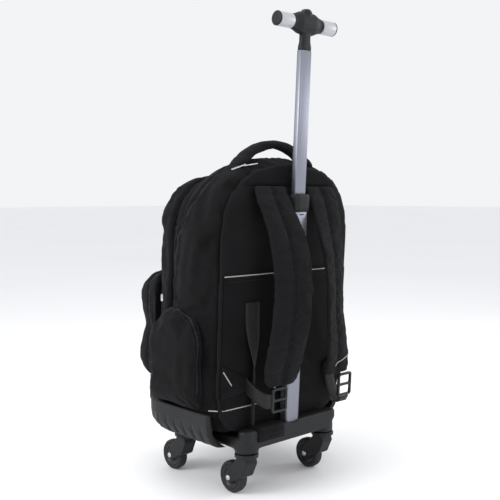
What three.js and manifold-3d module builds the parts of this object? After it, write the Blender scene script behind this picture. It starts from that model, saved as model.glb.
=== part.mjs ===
// Wheeled backpack: a soft two-compartment bag with shoulder straps, on a hard base with four
// swivel casters and a two-stage pull-out pole. Millimetres, X to the right seen from the
// straps, Y from the straps to the bag's front, Z up.
import * as THREE from 'three';
import { mergeVertices } from 'three/addons/utils/BufferGeometryUtils.js';
import Module from 'manifold-3d';

const wasm = await Module();
wasm.setup();

// Clearances
const GAP = 0.3;
const RUNNING_GAP = 0.8;

// Bag and pole lean back by this much for each millimetre of height above the base
const RAKE = 0.053;

// Casters
const WHEEL_RADIUS = 28;
const WHEEL_WIDTH = 18;
const TYRE_DEPTH = 7;
const WHEEL_SIDES = 18;
const AXLE_RADIUS = 3;
const CASTER_TRAIL = 33.5;
const CHEEK_THICKNESS = 3.6;
const CHEEK_END_RADIUS = 9;
const FORK_NECK_RADIUS = 14;
const KNEE_RADIUS = 11.5;
const KNEE_SHARE = 0.16;
const KNEE_LIFT = 0.62;
const SWIVEL_RADIUS = 21.5;
const SWIVEL_THICKNESS = 9;
const STEM_RADIUS = 5;
const STEM_LENGTH = 16;
const CASTER_INSET = 21.5;
const CASTER_SPREAD_Y = 83.5;

// Base
const BASE_BOTTOM = 78;
const BASE_THICKNESS = 27.7;
const SOCKET_DROP = 8;
const BASE_HALF_WIDTH = 118.5;
const BASE_MARGIN = 19.5;
const BASE_CORNER = 22;
const BASE_WALL = 4;
const BASE_EDGE = 4;
const SOCKET_BLOCK = 50;
const RAIL_RISE = 14;
const RAIL_DEPTH = 27;

// Bag shells
const BAG_HALF_WIDTH = 163.5;
const BAG_HEIGHT = 476;
const BAG_REAR = 65;
const MAIN_DEPTH = 122;
const FRONT_DEPTH = 71;
const BAG_WALL = 3;
const SHOULDER_WIDTH = 105;
const SHOULDER_HEIGHT = 114;
const CROWN_RISE = 7;
const FOOT_CORNER_WIDTH = 48;
const FOOT_CORNER_HEIGHT = 77;
const FRONT_ROUND = 48;
const TOP_DROP = 33;
const CREASE = 7;

// Back of the bag
const PANEL_THICKNESS = 7;
const PANEL_INSET = 5;
const PANEL_EDGE = 7;
const YOKE_THICKNESS = 2.2;
const YOKE_LINE = 430;
const BACK_POCKET_THICKNESS = 2.4;
const BACK_POCKET_LOW = 51;
const BACK_POCKET_HIGH = 279;

// Pockets
const POCKET_WALL = 2;
const SIDE_POCKET_LOW = 47.5;
const SIDE_POCKET_HEIGHT = 178;
const SIDE_POCKET_LENGTH = 142;
const SIDE_POCKET_CENTRE = 24;
const SIDE_POCKET_BULGE = 27;
const FRONT_POCKET_LOW = 65;
const FRONT_POCKET_HEIGHT = 212;
const FRONT_POCKET_HALF_WIDTH = 149;
const FRONT_POCKET_BULGE = 70;
const FRONT_POCKET_EDGE = 34;
const FRONT_POCKET_CORNER = 38;
const FRONT_POCKET_WAIST = 8;

// Side guards
const GUARD_WALL = 3;
const GUARD_HEIGHT = 66;
const GUARD_TOP = 45.2;
const GUARD_STANDOFF = 4;
const GUARD_REAR = 60;
const GUARD_FRONT_REACH = 60;
const GUARD_RIBS = 6;
const GROOVE_DEPTH = 7;

// Carry handle
const HANDLE_HALF_SPAN = 87;
const HANDLE_RISE = 35;
const HANDLE_WIDTH = 28;
const HANDLE_FLARE = 0.45;
const HANDLE_THICKNESS = 17;
const HANDLE_SET_FORWARD = 42;

// Pole
const OUTER_WIDTH = 33;
const OUTER_DEPTH = 21;
const TUBE_WALL = 1.5;
const INNER_WIDTH = 26;
const INNER_DEPTH = 15;
const FOOT_SOCKET_DEPTH = 15;
const OUTER_TOP = 385;
const COLLAR_WIDTH = 42;
const COLLAR_DEPTH = 29;
const COLLAR_HEIGHT = 31;
const POLE_REACH = 244;
const POLE_OVERLAP = 90;

// T handle
const NECK_HEIGHT = 30;
const NECK_PLUG = 12;
const GRIP_RADIUS = 12.5;
const GRIP_HEIGHT = 45;
const GRIP_LENGTH = 31;
const GRIP_WALL = 2;
const MIDDLE_HALF_LENGTH = 36;
const MIDDLE_RADIUS = 19;
const MIDDLE_DEPTH_SHARE = 0.7;
const CAP_THICKNESS = 3;
const BUTTON_RADIUS = 8.5;
const BUTTON_PROUD = 5;
const BUTTON_TRAVEL = 3;

// Shoulder straps and webbing
const STRAP_WIDTH = 84;
const STRAP_THICKNESS = 13;
const STRAP_BOW = 60;
const STRAP_DROP = 342;
const STRAP_OFFSET = 58;
const STRAP_SPLAY = 47;
const LOCK_OFFSET = 27;
const WEBBING_WIDTH = 25;
const WEBBING_THICKNESS = 1.8;
const LOCK_WIDTH = 37;
const LOCK_HEIGHT = 44;
const LOCK_THICKNESS = 5;
const LOCK_BAR = 5;
const WEBBING_RUN = 28;
const WING_HEIGHT = 62;
const WING_THICKNESS = 2.4;
const WING_CENTRE = 98;
const RIBBON_WIDTH = 32;
const RIBBON_LENGTH = 214;
const RIBBON_X = 88;
const RIBBON_TWIST_ANGLE = 1.05;
const FLAP_WIDTH = 62;
const FLAP_DROP = 22;
const FLAP_THICKNESS = 1.8;

// Zip pulls
const PULL_WIDTH = 6;
const PULL_THICKNESS = 1.6;
const SIDE_PULL_LENGTH = 13;
const FRONT_PULL_LENGTH = 46;
const TOP_PULL_LENGTH = 27;

// Sections of the main compartment from the back seam to the crease.
// depth: share of MAIN_DEPTH, inset: share of CREASE, drop: share of TOP_DROP,
// shoulder: share of SHOULDER_WIDTH and SHOULDER_HEIGHT
const MAIN_SECTIONS = [
  { depth: 0.0, inset: 0.8, drop: 0.0, shoulder: 1.0 },
  { depth: 0.06, inset: 0.0, drop: 0.0, shoulder: 1.0 },
  { depth: 0.35, inset: -0.4, drop: 0.1, shoulder: 0.97 },
  { depth: 0.7, inset: -0.3, drop: 0.34, shoulder: 0.93 },
  { depth: 0.92, inset: 0.25, drop: 0.52, shoulder: 0.9 },
  { depth: 1.0, inset: 1.0, drop: 0.54, shoulder: 0.88 },
];

// Sections of the front compartment from the crease to the front face.
// depth: share of FRONT_DEPTH, crease: share of CREASE, round: share of FRONT_ROUND,
// drop: share of TOP_DROP, shoulder: as above
const FRONT_SECTIONS = [
  { depth: 0.0, crease: 1.0, round: 0.0, drop: 0.54, shoulder: 0.88 },
  { depth: 0.1, crease: 0.2, round: -0.01, drop: 0.52, shoulder: 0.86 },
  { depth: 0.4, crease: 0.0, round: 0.0, drop: 0.64, shoulder: 0.8 },
  { depth: 0.63, crease: 0.0, round: 0.07, drop: 0.78, shoulder: 0.76 },
  { depth: 0.82, crease: 0.0, round: 0.25, drop: 0.88, shoulder: 0.74 },
  { depth: 0.94, crease: 0.0, round: 0.5, drop: 0.95, shoulder: 0.72 },
  { depth: 1.0, crease: 0.0, round: 0.8, drop: 1.0, shoulder: 0.72 },
];

// Sections of a bulging pocket from the bag outwards.
// out: share of the bulge, inset: share of the bulge's edge radius
const POCKET_SECTIONS = [
  { out: 0.0, inset: 0.0 },
  { out: 0.38, inset: 0.07 },
  { out: 0.7, inset: 0.27 },
  { out: 0.9, inset: 0.56 },
  { out: 1.0, inset: 1.0 },
];

// Side guard's wall from its top edge down.
// height: share of GUARD_HEIGHT, tuck: share of the way in to the base, groove: share of GROOVE_DEPTH
const GUARD_PROFILE = [
  { height: 1.0, tuck: 0.0, groove: 0.0 },
  { height: 0.66, tuck: 0.02, groove: 0.0 },
  { height: 0.42, tuck: 0.07, groove: 0.7 },
  { height: 0.2, tuck: 0.25, groove: 1.0 },
  { height: 0.06, tuck: 0.54, groove: 0.8 },
  { height: 0.0, tuck: 1.0, groove: 0.0 },
];

// Shoulder strap from the yoke seam to its end.
// down: share of STRAP_DROP, bow: share of STRAP_BOW, centre: share of STRAP_OFFSET,
// width: share of STRAP_WIDTH, yaw: degrees that the outer edge turns to the bag
const STRAP_SECTIONS = [
  { down: 0.0, bow: 0.0, centre: 1.03, width: 0.92, yaw: 0 },
  { down: 0.045, bow: 0.13, centre: 1.07, width: 0.92, yaw: 0 },
  { down: 0.1, bow: 0.3, centre: 1.05, width: 0.92, yaw: 2 },
  { down: 0.16, bow: 0.475, centre: 1.0, width: 0.92, yaw: 4 },
  { down: 0.24, bow: 0.67, centre: 0.93, width: 0.92, yaw: 10 },
  { down: 0.36, bow: 0.88, centre: 0.91, width: 0.9, yaw: 16 },
  { down: 0.5, bow: 0.985, centre: 0.9, width: 0.88, yaw: 20 },
  { down: 0.64, bow: 1.0, centre: 0.92, width: 0.88, yaw: 20 },
  { down: 0.78, bow: 0.93, centre: 0.99, width: 0.9, yaw: 16 },
  { down: 0.89, bow: 0.79, centre: 1.0, width: 0.92, yaw: 12 },
  { down: 0.96, bow: 0.66, centre: 0.93, width: 0.9, yaw: 6 },
  { down: 1.0, bow: 0.58, centre: 0.88, width: 0.76, yaw: 0 },
];

// Webbing from a wing to the buckle, as its middle line.
// x, y, z: shares of the way, sag: share of WEBBING_WIDTH that it hangs lower
const LEFT_WEBBING = [
  { x: 0.0, y: 0.0, z: 0.0, sag: 0.0 },
  { x: 0.02, y: 0.08, z: 0.08, sag: 0.08 },
  { x: 0.1, y: 0.65, z: 0.35, sag: 0.3 },
  { x: 0.5, y: 0.97, z: 0.7, sag: 0.25 },
  { x: 0.92, y: 1.0, z: 0.97, sag: 0.05 },
  { x: 1.0, y: 1.0, z: 1.0, sag: 0.0 },
];
const RIGHT_WEBBING = [
  { x: 0.0, y: 0.0, z: 0.0, sag: 0.0 },
  { x: 0.1, y: 0.0, z: 0.25, sag: 0.0 },
  { x: 0.35, y: 0.16, z: 0.7, sag: 0.1 },
  { x: 0.65, y: 0.5, z: 1.0, sag: 0.5 },
  { x: 0.9, y: 0.88, z: 1.0, sag: 0.42 },
  { x: 1.0, y: 1.0, z: 1.0, sag: 0.12 },
  { x: 1.0, y: 1.0, z: 1.0, sag: 0.02 },
];

// Middle line of the carry handle over the top of the bag.
// across: share of HANDLE_HALF_SPAN, rise: share of HANDLE_RISE
const HANDLE_PATH = [
  { across: -1.04, rise: -0.95 },
  { across: -0.97, rise: -0.35 },
  { across: -0.76, rise: 0.22 },
  { across: -0.42, rise: 0.6 },
  { across: 0.0, rise: 0.76 },
  { across: 0.42, rise: 0.6 },
  { across: 0.76, rise: 0.22 },
  { across: 0.97, rise: -0.35 },
  { across: 1.04, rise: -0.95 },
];

// Two pulls that lie on the bag's top by the handle's left foot.
// x: share of HANDLE_HALF_SPAN, y: share of BAG_REAR, yaw: degrees turned from the bag's width
const TOP_PULLS = [
  { name: 'top_pull_rear', x: -0.977, y: -0.86, yaw: -20 },
  { name: 'top_pull_front', x: -1.128, y: -0.62, yaw: -35 },
];

// Half section of the padded strap from its outer edge to the sewn channel.
// across: share of the half width, face: share of STRAP_THICKNESS in front of the edge line
const STRAP_PROFILE = [
  { across: 1.0, face: 0.06 },
  { across: 0.9, face: 0.42 },
  { across: 0.5, face: 0.6 },
  { across: 0.16, face: 0.48 },
  { across: 0.0, face: 0.24 },
];

// Heights and depths that follow from the sizes above
const baseTop = BASE_BOTTOM + BASE_THICKNESS;
const casterSpreadX = BASE_HALF_WIDTH - CASTER_INSET;
const baseHalfDepth = CASTER_SPREAD_Y + BASE_MARGIN;
const railTop = baseTop + RAIL_RISE;
const bagBottom = baseTop + GAP;
const bagTop = bagBottom + BAG_HEIGHT;
const crease = MAIN_DEPTH - BAG_REAR;
const bagFront = crease + GAP + FRONT_DEPTH;
const panelBack = BAG_REAR + GAP + PANEL_THICKNESS;
const yokeLine = bagBottom + YOKE_LINE;
const poleLine = panelBack + GAP + YOKE_THICKNESS + COLLAR_DEPTH / 2;
const outerTop = baseTop + OUTER_TOP;
const collarTop = outerTop + COLLAR_HEIGHT;
const neckBottom = collarTop + POLE_REACH;
const gripLine = neckBottom + GRIP_HEIGHT;

const group = new THREE.Group();

const material = (color, roughness, metalness) =>
  new THREE.MeshStandardMaterial({ color, roughness, metalness });
const CLOTH = material(0x1b1c20, 0.95, 0);
const PADDED_CLOTH = material(0x202126, 0.95, 0);
const WEBBING = material(0x1a1a1d, 0.85, 0);
const PLASTIC = material(0x25262a, 0.55, 0);
const TYRE = material(0x1d1d1f, 0.8, 0);
const HUB = material(0x2e2f33, 0.5, 0);
const ALUMINIUM = material(0xaeb0bd, 0.35, 0.9);
const STEEL = material(0xb9bbc0, 0.3, 1);
const GRIP_SILVER = material(0xc9cbd2, 0.4, 0.6);

// Merges shared corners, drops empty triangles and turns the faces outwards
function weld(source) {
  const bare = source.clone();
  bare.deleteAttribute('normal');
  bare.deleteAttribute('uv');
  const merged = mergeVertices(bare, 1e-3);
  const corners = merged.index.array;
  const kept = [];
  for (let i = 0; i < corners.length; i += 3) {
    const [a, b, c] = corners.slice(i, i + 3);
    if (a !== b && b !== c && c !== a) kept.push(a, b, c);
  }
  const at = (i) => new THREE.Vector3().fromBufferAttribute(merged.attributes.position, i);
  let volume = 0;
  for (let i = 0; i < kept.length; i += 3) {
    volume += at(kept[i]).dot(at(kept[i + 1]).cross(at(kept[i + 2])));
  }
  merged.setIndex(volume < 0 ? kept.reverse() : kept);
  return merged;
}

function toSolid(source) {
  const geometry = weld(source);
  return new wasm.Manifold(new wasm.Mesh({
    numProp: 3,
    vertProperties: new Float32Array(geometry.attributes.position.array),
    triVerts: new Uint32Array(geometry.index.array),
  }));
}

function fromSolid(solid) {
  const mesh = solid.getMesh();
  const geometry = new THREE.BufferGeometry();
  geometry.setAttribute('position', new THREE.BufferAttribute(mesh.vertProperties, 3));
  geometry.setIndex(new THREE.BufferAttribute(mesh.triVerts, 1));
  return geometry;
}

const join = (...parts) => fromSolid(parts.map(toSolid).reduce((sum, part) => sum.add(part)));
const cut = (body, ...tools) =>
  fromSolid(tools.map(toSolid).reduce((rest, tool) => rest.subtract(tool), toSolid(body)));
const common = (body, other) => fromSolid(toSolid(body).intersect(toSolid(other)));

function block(xs, ys, zs) {
  const geometry = new THREE.BoxGeometry(xs[1] - xs[0], ys[1] - ys[0], zs[1] - zs[0]);
  return geometry.translate((xs[0] + xs[1]) / 2, (ys[0] + ys[1]) / 2, (zs[0] + zs[1]) / 2);
}

// Closed skin over rings of equally many points, with both ends capped
function loft(rings) {
  const count = rings[0].length;
  const points = rings.flat();
  const triangles = [];
  for (let ring = 0; ring + 1 < rings.length; ring += 1) {
    for (let i = 0; i < count; i += 1) {
      const a = ring * count + i;
      const b = ring * count + ((i + 1) % count);
      triangles.push(a, b, b + count, a, b + count, a + count);
    }
  }
  for (const [first, flip] of [[0, true], [(rings.length - 1) * count, false]]) {
    const middle = points.length;
    const ring = points.slice(first, first + count);
    points.push([0, 1, 2].map((axis) => ring.reduce((sum, point) => sum + point[axis], 0) / count));
    for (let i = 0; i < count; i += 1) {
      const a = first + i;
      const b = first + ((i + 1) % count);
      triangles.push(...(flip ? [b, a, middle] : [a, b, middle]));
    }
  }
  const geometry = new THREE.BufferGeometry();
  geometry.setAttribute('position', new THREE.Float32BufferAttribute(points.flat(), 3));
  geometry.setIndex(triangles);
  return geometry;
}

// Rounded rectangle as [u, v] points about the middle, anticlockwise
function roundedOutline(halfU, halfV, radius, steps) {
  const round = Math.min(radius, halfU, halfV);
  const points = [];
  for (const [su, sv, start] of [[1, 1, 0], [-1, 1, 90], [-1, -1, 180], [1, -1, 270]]) {
    for (let i = 0; i <= steps; i += 1) {
      const angle = THREE.MathUtils.degToRad(start + (90 * i) / steps);
      points.push([
        su * (halfU - round) + round * Math.cos(angle),
        sv * (halfV - round) + round * Math.sin(angle),
      ]);
    }
  }
  return points;
}

// Upright post of rounded section; sections hold z and how far the section is drawn in there
function post(halfX, halfY, radius, steps, sections) {
  return loft(sections.map(({ z, inset = 0 }) =>
    roundedOutline(halfX - inset, halfY - inset, Math.max(radius - inset, 0.5), steps)
      .map(([x, y]) => [x, y, z])));
}

// Round piece along X, from [x, radius] points
function turnedAlongX(profile, sides) {
  const points = profile.map(([x, radius]) => new THREE.Vector2(radius, x));
  return new THREE.LatheGeometry(points, sides).rotateZ(-Math.PI / 2);
}

// Round piece along Z, from [z, radius] points
function turnedAlongZ(profile, sides) {
  const points = profile.map(([z, radius]) => new THREE.Vector2(radius, z));
  return new THREE.LatheGeometry(points, sides).rotateX(Math.PI / 2);
}

// The lean of the bag and pole, as a shear from the top of the base
function lean(geometry) {
  const shear = new THREE.Matrix4().set(
    1, 0, 0, 0,
    0, 1, -RAKE, RAKE * baseTop,
    0, 0, 1, 0,
    0, 0, 0, 1,
  );
  return geometry.clone().applyMatrix4(shear);
}

function mirrorX(geometry) {
  return geometry.clone().applyMatrix4(new THREE.Matrix4().makeScale(-1, 1, 1));
}

function add(name, geometry, look, parent = group) {
  const solid = weld(geometry);
  solid.computeVertexNormals();
  const mesh = new THREE.Mesh(solid, look);
  mesh.name = name;
  parent.add(mesh);
  return mesh;
}

const SIDES = [{ side: 'left', sign: -1 }, { side: 'right', sign: 1 }];
const sided = (geometry, sign) => (sign < 0 ? geometry : mirrorX(geometry));

// Outline of the bag seen from behind, [x, z]: drawn in by inset, its crown lowered by drop and
// all of it grown by a clearance. Its foot stays flat on the base where the sides swell.
function bagOutline(inset, drop, grow = 0, shoulder = 1) {
  const shoulderWidth = SHOULDER_WIDTH * shoulder;
  const shoulderHeight = SHOULDER_HEIGHT * shoulder;
  const halfWidth = BAG_HALF_WIDTH - inset + grow;
  const bottom = bagBottom + Math.max(inset, 0) - grow;
  const top = bagTop - inset - drop + grow;
  const shoulderX = halfWidth - shoulderWidth;
  const shoulderZ = top - CROWN_RISE - shoulderHeight;
  const footX = halfWidth - FOOT_CORNER_WIDTH;
  const footZ = bottom + FOOT_CORNER_HEIGHT;
  const half = [];
  for (const share of [0, 0.33, 0.67, 1]) {
    const angle = (share * Math.PI) / 2;
    half.push([
      footX + FOOT_CORNER_WIDTH * Math.sin(angle),
      footZ - FOOT_CORNER_HEIGHT * Math.cos(angle),
    ]);
  }
  half.push([halfWidth, (footZ + shoulderZ) / 2]);
  for (let i = 0; i <= 5; i += 1) {
    const angle = (i / 5) * (Math.PI / 2);
    half.push([
      shoulderX + shoulderWidth * Math.cos(angle),
      shoulderZ + shoulderHeight * Math.sin(angle),
    ]);
  }
  half.push([shoulderX / 2, top - CROWN_RISE * 0.25]);
  const mirrored = half.map(([x, z]) => [-x, z]).reverse();
  return [...half, [0, top], ...mirrored, [0, bottom]];
}

// Main compartment's outside, or its inside with grow negative
function mainLoft(start, end, grow) {
  return loft(MAIN_SECTIONS.map(({ depth, inset, drop, shoulder }) => {
    const y = start + (end - start) * depth;
    return bagOutline(inset * CREASE, drop * TOP_DROP, grow, shoulder).map(([x, z]) => [x, y, z]);
  }));
}

function frontLoft(start, end, grow) {
  return loft(FRONT_SECTIONS.map(({ depth, crease: pinch, round, drop, shoulder }) => {
    const y = start + (end - start) * depth;
    const inset = pinch * CREASE + round * FRONT_ROUND;
    return bagOutline(inset, drop * TOP_DROP, grow, shoulder).map(([x, z]) => [x, y, z]);
  }));
}

// The whole bag grown by a clearance, to cut what lies against it
const bagForm = join(
  mainLoft(-BAG_REAR - GAP, crease + GAP, GAP),
  frontLoft(crease, bagFront + GAP, GAP),
);

function addBagShells() {
  const mainOutside = mainLoft(-BAG_REAR, crease, 0);
  const mainInside = mainLoft(-BAG_REAR + BAG_WALL, crease + GAP, -BAG_WALL);
  add('main_compartment', lean(cut(mainOutside, mainInside)), CLOTH);
  const frontOutside = frontLoft(crease + GAP, bagFront, 0);
  const frontInside = frontLoft(crease, bagFront - BAG_WALL, -BAG_WALL);
  add('front_compartment', lean(cut(frontOutside, frontInside)), CLOTH);
}

// Flat padded layer on the back, between two depths, with its edge rounded off
function backLayer(near, thickness, inset, edge) {
  const rings = [
    { y: -near, draw: inset },
    { y: -near - thickness * 0.6, draw: inset + edge * 0.15 },
    { y: -near - thickness, draw: inset + edge },
  ];
  return loft(rings.map(({ y, draw }) => bagOutline(draw, 0).map(([x, z]) => [x, y, z])));
}

function addBack() {
  const panel = backLayer(BAG_REAR + GAP, PANEL_THICKNESS, PANEL_INSET, PANEL_EDGE);
  add('back_panel', lean(panel), PADDED_CLOTH);
  const wide = [-BAG_HALF_WIDTH, BAG_HALF_WIDTH];
  const behind = [-2 * BAG_REAR, 0];
  const cover = PANEL_INSET + PANEL_EDGE;
  const yoke = common(
    backLayer(panelBack + GAP, YOKE_THICKNESS, cover, YOKE_THICKNESS),
    block(wide, behind, [yokeLine, bagTop]),
  );
  add('back_yoke', lean(yoke), CLOTH);
  const pocket = common(
    backLayer(panelBack + GAP, BACK_POCKET_THICKNESS, cover, BACK_POCKET_THICKNESS),
    block(wide, behind, [bagBottom + BACK_POCKET_LOW, bagBottom + BACK_POCKET_HIGH]),
  );
  add('back_pocket', lean(pocket), CLOTH);
}

// Arched side pocket: straight foot with small corners and a high round top, as [y, z]
function sidePocketOutline(inset) {
  const half = SIDE_POCKET_LENGTH / 2 - inset;
  const low = bagBottom + SIDE_POCKET_LOW + inset;
  const high = bagBottom + SIDE_POCKET_LOW + SIDE_POCKET_HEIGHT - inset;
  const arch = SIDE_POCKET_LENGTH * 0.42;
  const foot = SIDE_POCKET_LENGTH * 0.1;
  const points = [];
  for (let i = 0; i <= 2; i += 1) {
    const angle = (i / 2) * (Math.PI / 2);
    points.push([half - foot + foot * Math.sin(angle), low + foot - foot * Math.cos(angle)]);
  }
  for (let i = 0; i <= 6; i += 1) {
    const angle = (i / 6) * (Math.PI / 2);
    points.push([half * Math.cos(angle), high - arch + arch * Math.sin(angle)]);
  }
  const mirrored = points.slice(0, -1).map(([y, z]) => [-y, z]).reverse();
  return [...points, ...mirrored].map(([y, z]) => [y + SIDE_POCKET_CENTRE, z]);
}

function addSidePockets() {
  const root = BAG_HALF_WIDTH - FRONT_ROUND / 2;
  const face = BAG_HALF_WIDTH + SIDE_POCKET_BULGE;
  const skin = (shrink) => loft([
    sidePocketOutline(shrink).map(([y, z]) => [-root - shrink, y, z]),
    ...POCKET_SECTIONS.map(({ out, inset }) => {
      const x = -BAG_HALF_WIDTH - (SIDE_POCKET_BULGE - shrink) * out;
      return sidePocketOutline(inset * SIDE_POCKET_BULGE + shrink).map(([y, z]) => [x, y, z]);
    }),
  ]);
  const mouth = block([-root - POCKET_WALL * 2, -root + 1], [-face, face], [bagBottom, bagTop]);
  const pocket = cut(skin(0), skin(POCKET_WALL), mouth, bagForm);
  for (const { side, sign } of SIDES) {
    add(`side_pocket_${side}`, lean(sided(pocket, sign)), CLOTH);
  }
}

function addFrontPocket() {
  const middle = bagBottom + FRONT_POCKET_LOW + FRONT_POCKET_HEIGHT / 2;
  const root = bagFront - FRONT_ROUND / 2;
  const ring = (y, inset) => {
    const half = roundedOutline(
      FRONT_POCKET_HALF_WIDTH - inset,
      FRONT_POCKET_HEIGHT / 2 - inset,
      FRONT_POCKET_CORNER - inset * 0.2,
      4,
    );
    const corners = half.length / 4;
    const waist = FRONT_POCKET_HALF_WIDTH - inset - FRONT_POCKET_WAIST;
    half.splice(corners * 2, 0, [-waist, 0]);
    return [[waist, 0], ...half].map(([x, z]) => [x, y, z + middle]);
  };
  const skin = (shrink) => loft([
    ring(root + shrink, shrink),
    ...POCKET_SECTIONS.map(({ out, inset }) =>
      ring(bagFront + (FRONT_POCKET_BULGE - shrink) * out, inset * FRONT_POCKET_EDGE + shrink)),
  ]);
  const mouth = block(
    [-FRONT_POCKET_HALF_WIDTH, FRONT_POCKET_HALF_WIDTH],
    [root - 1, root + POCKET_WALL * 2],
    [bagBottom, bagTop],
  );
  add('front_pocket', lean(cut(skin(0), skin(POCKET_WALL), mouth, bagForm)), CLOTH);
}

// Path of a side guard in plan: along the bag's side, round its front corner, onto its front
function guardStations() {
  const wide = BAG_HALF_WIDTH + GUARD_STANDOFF;
  const front = bagFront + GUARD_STANDOFF;
  const round = FRONT_ROUND;
  const straight = front - round + GUARD_REAR;
  const pitch = straight / GUARD_RIBS;
  const stations = [];
  for (let rib = 0; rib < GUARD_RIBS; rib += 1) {
    for (const [share, groove] of [[0.0, 0], [0.68, 0], [0.84, 1]]) {
      stations.push({ at: [-wide, -GUARD_REAR + pitch * (rib + share)], inward: [1, 0], groove });
    }
  }
  for (let i = 0; i <= 5; i += 1) {
    const angle = (i / 5) * (Math.PI / 2);
    const inward = [Math.cos(angle), -Math.sin(angle)];
    const at = [-wide + round - round * inward[0], front - round - round * inward[1]];
    stations.push({ at, inward, groove: i % 3 === 1 ? 1 : 0 });
  }
  stations.push({ at: [-GUARD_FRONT_REACH, front], inward: [0, -1], groove: 0 });
  return stations;
}

function addGuards() {
  const top = bagBottom + GUARD_TOP;
  const tuckX = BAG_HALF_WIDTH + GUARD_STANDOFF - BASE_HALF_WIDTH - GAP;
  const tuckY = bagFront + GUARD_STANDOFF - baseHalfDepth - GAP;
  const rings = guardStations().map(({ at, inward, groove }) => {
    const reach = inward[0] * tuckX - inward[1] * tuckY;
    const place = (row, wall) => {
      const depth = row.tuck * reach + row.groove * groove * GROOVE_DEPTH + wall;
      const z = top - GUARD_HEIGHT * (1 - row.height) + (row.tuck > 0.5 ? wall * row.tuck : 0);
      return [at[0] + inward[0] * depth, at[1] + inward[1] * depth, z];
    };
    const outside = GUARD_PROFILE.map((row) => place(row, 0));
    const inside = GUARD_PROFILE.filter((row, i) => i % 2 === 0)
      .map((row) => place(row, GUARD_WALL * 3)).reverse();
    return [...outside, ...inside];
  });
  const guard = cut(loft(rings), bagForm, block(
    [-BASE_HALF_WIDTH - GAP, BASE_HALF_WIDTH],
    [-baseHalfDepth, baseHalfDepth + GAP],
    [0, bagBottom],
  ));
  for (const { side, sign } of SIDES) {
    add(`side_guard_${side}`, lean(sided(guard, sign)), PLASTIC);
  }
}

const CASTERS = [
  { name: 'rear_left', x: -casterSpreadX, y: -CASTER_SPREAD_Y },
  { name: 'rear_right', x: casterSpreadX, y: -CASTER_SPREAD_Y },
  { name: 'front_left', x: -casterSpreadX, y: CASTER_SPREAD_Y },
  { name: 'front_right', x: casterSpreadX, y: CASTER_SPREAD_Y },
];

function addBase() {
  const tray = post(BASE_HALF_WIDTH, baseHalfDepth, BASE_CORNER, 4, [
    { z: BASE_BOTTOM + SOCKET_DROP, inset: BASE_EDGE * 0.5 },
    { z: BASE_BOTTOM + SOCKET_DROP + BASE_EDGE * 0.5 },
    { z: baseTop },
  ]);
  const rail = post(BASE_HALF_WIDTH, RAIL_DEPTH / 2, RAIL_DEPTH / 2, 4, [
    { z: baseTop - BASE_EDGE },
    { z: railTop - BASE_EDGE },
    { z: railTop - BASE_EDGE * 0.3, inset: BASE_EDGE * 0.3 },
    { z: railTop, inset: BASE_EDGE },
  ]).translate(0, -baseHalfDepth + RAIL_DEPTH / 2, 0);
  const pockets = [];
  const roof = baseTop - BASE_WALL;
  const cellX = BASE_HALF_WIDTH - SOCKET_BLOCK;
  const cellY = baseHalfDepth - SOCKET_BLOCK;
  const rib = BASE_WALL / 2;
  for (const column of [-2, -1, 1, 2]) {
    for (const row of [-2, -1, 1, 2]) {
      if (Math.abs(column) < 2 || Math.abs(row) < 2) {
        const spanX = Math.abs(column) < 2 ? [0, cellX] : [cellX, BASE_HALF_WIDTH - rib];
        const spanY = Math.abs(row) < 2 ? [0, cellY] : [cellY, baseHalfDepth - rib];
        const xs = spanX.map((x, end) => Math.sign(column) * (x + (end ? -rib : rib)));
        const ys = spanY.map((y, end) => Math.sign(row) * (y + (end ? -rib : rib)));
        pockets.push(block(xs.sort((p, q) => p - q), ys.sort((p, q) => p - q), [BASE_BOTTOM - rib, roof]));
      }
    }
  }
  const bosses = CASTERS.map(({ x, y }) => turnedAlongZ([
    [BASE_BOTTOM, 0],
    [BASE_BOTTOM, SWIVEL_RADIUS - BASE_EDGE * 0.5],
    [BASE_BOTTOM + BASE_EDGE * 0.4, SWIVEL_RADIUS],
    [BASE_BOTTOM + SOCKET_DROP + BASE_EDGE, SWIVEL_RADIUS],
    [BASE_BOTTOM + SOCKET_DROP + BASE_EDGE, 0],
  ], 12).translate(x, y, 0));
  const sockets = CASTERS.map(({ x, y }) => turnedAlongZ([
    [BASE_BOTTOM - 1, 0],
    [BASE_BOTTOM - 1, STEM_RADIUS + GAP],
    [BASE_BOTTOM + STEM_LENGTH + GAP, STEM_RADIUS + GAP],
    [BASE_BOTTOM + STEM_LENGTH + GAP, 0],
  ], 12).translate(x, y, 0));
  const footHole = post(OUTER_WIDTH / 2 + GAP, OUTER_DEPTH / 2 + GAP, OUTER_DEPTH * 0.4, 2, [
    { z: railTop - FOOT_SOCKET_DEPTH - GAP },
    { z: railTop + 1 },
  ]).translate(0, -poleLine, 0);
  const outline = post(BASE_HALF_WIDTH, baseHalfDepth, BASE_CORNER, 4, [
    { z: BASE_BOTTOM },
    { z: baseTop },
  ]);
  const body = join(tray, rail, common(join(...bosses), outline));
  add('base', cut(body, ...pockets, ...sockets, lean(footHole)), PLASTIC);
}

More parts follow.
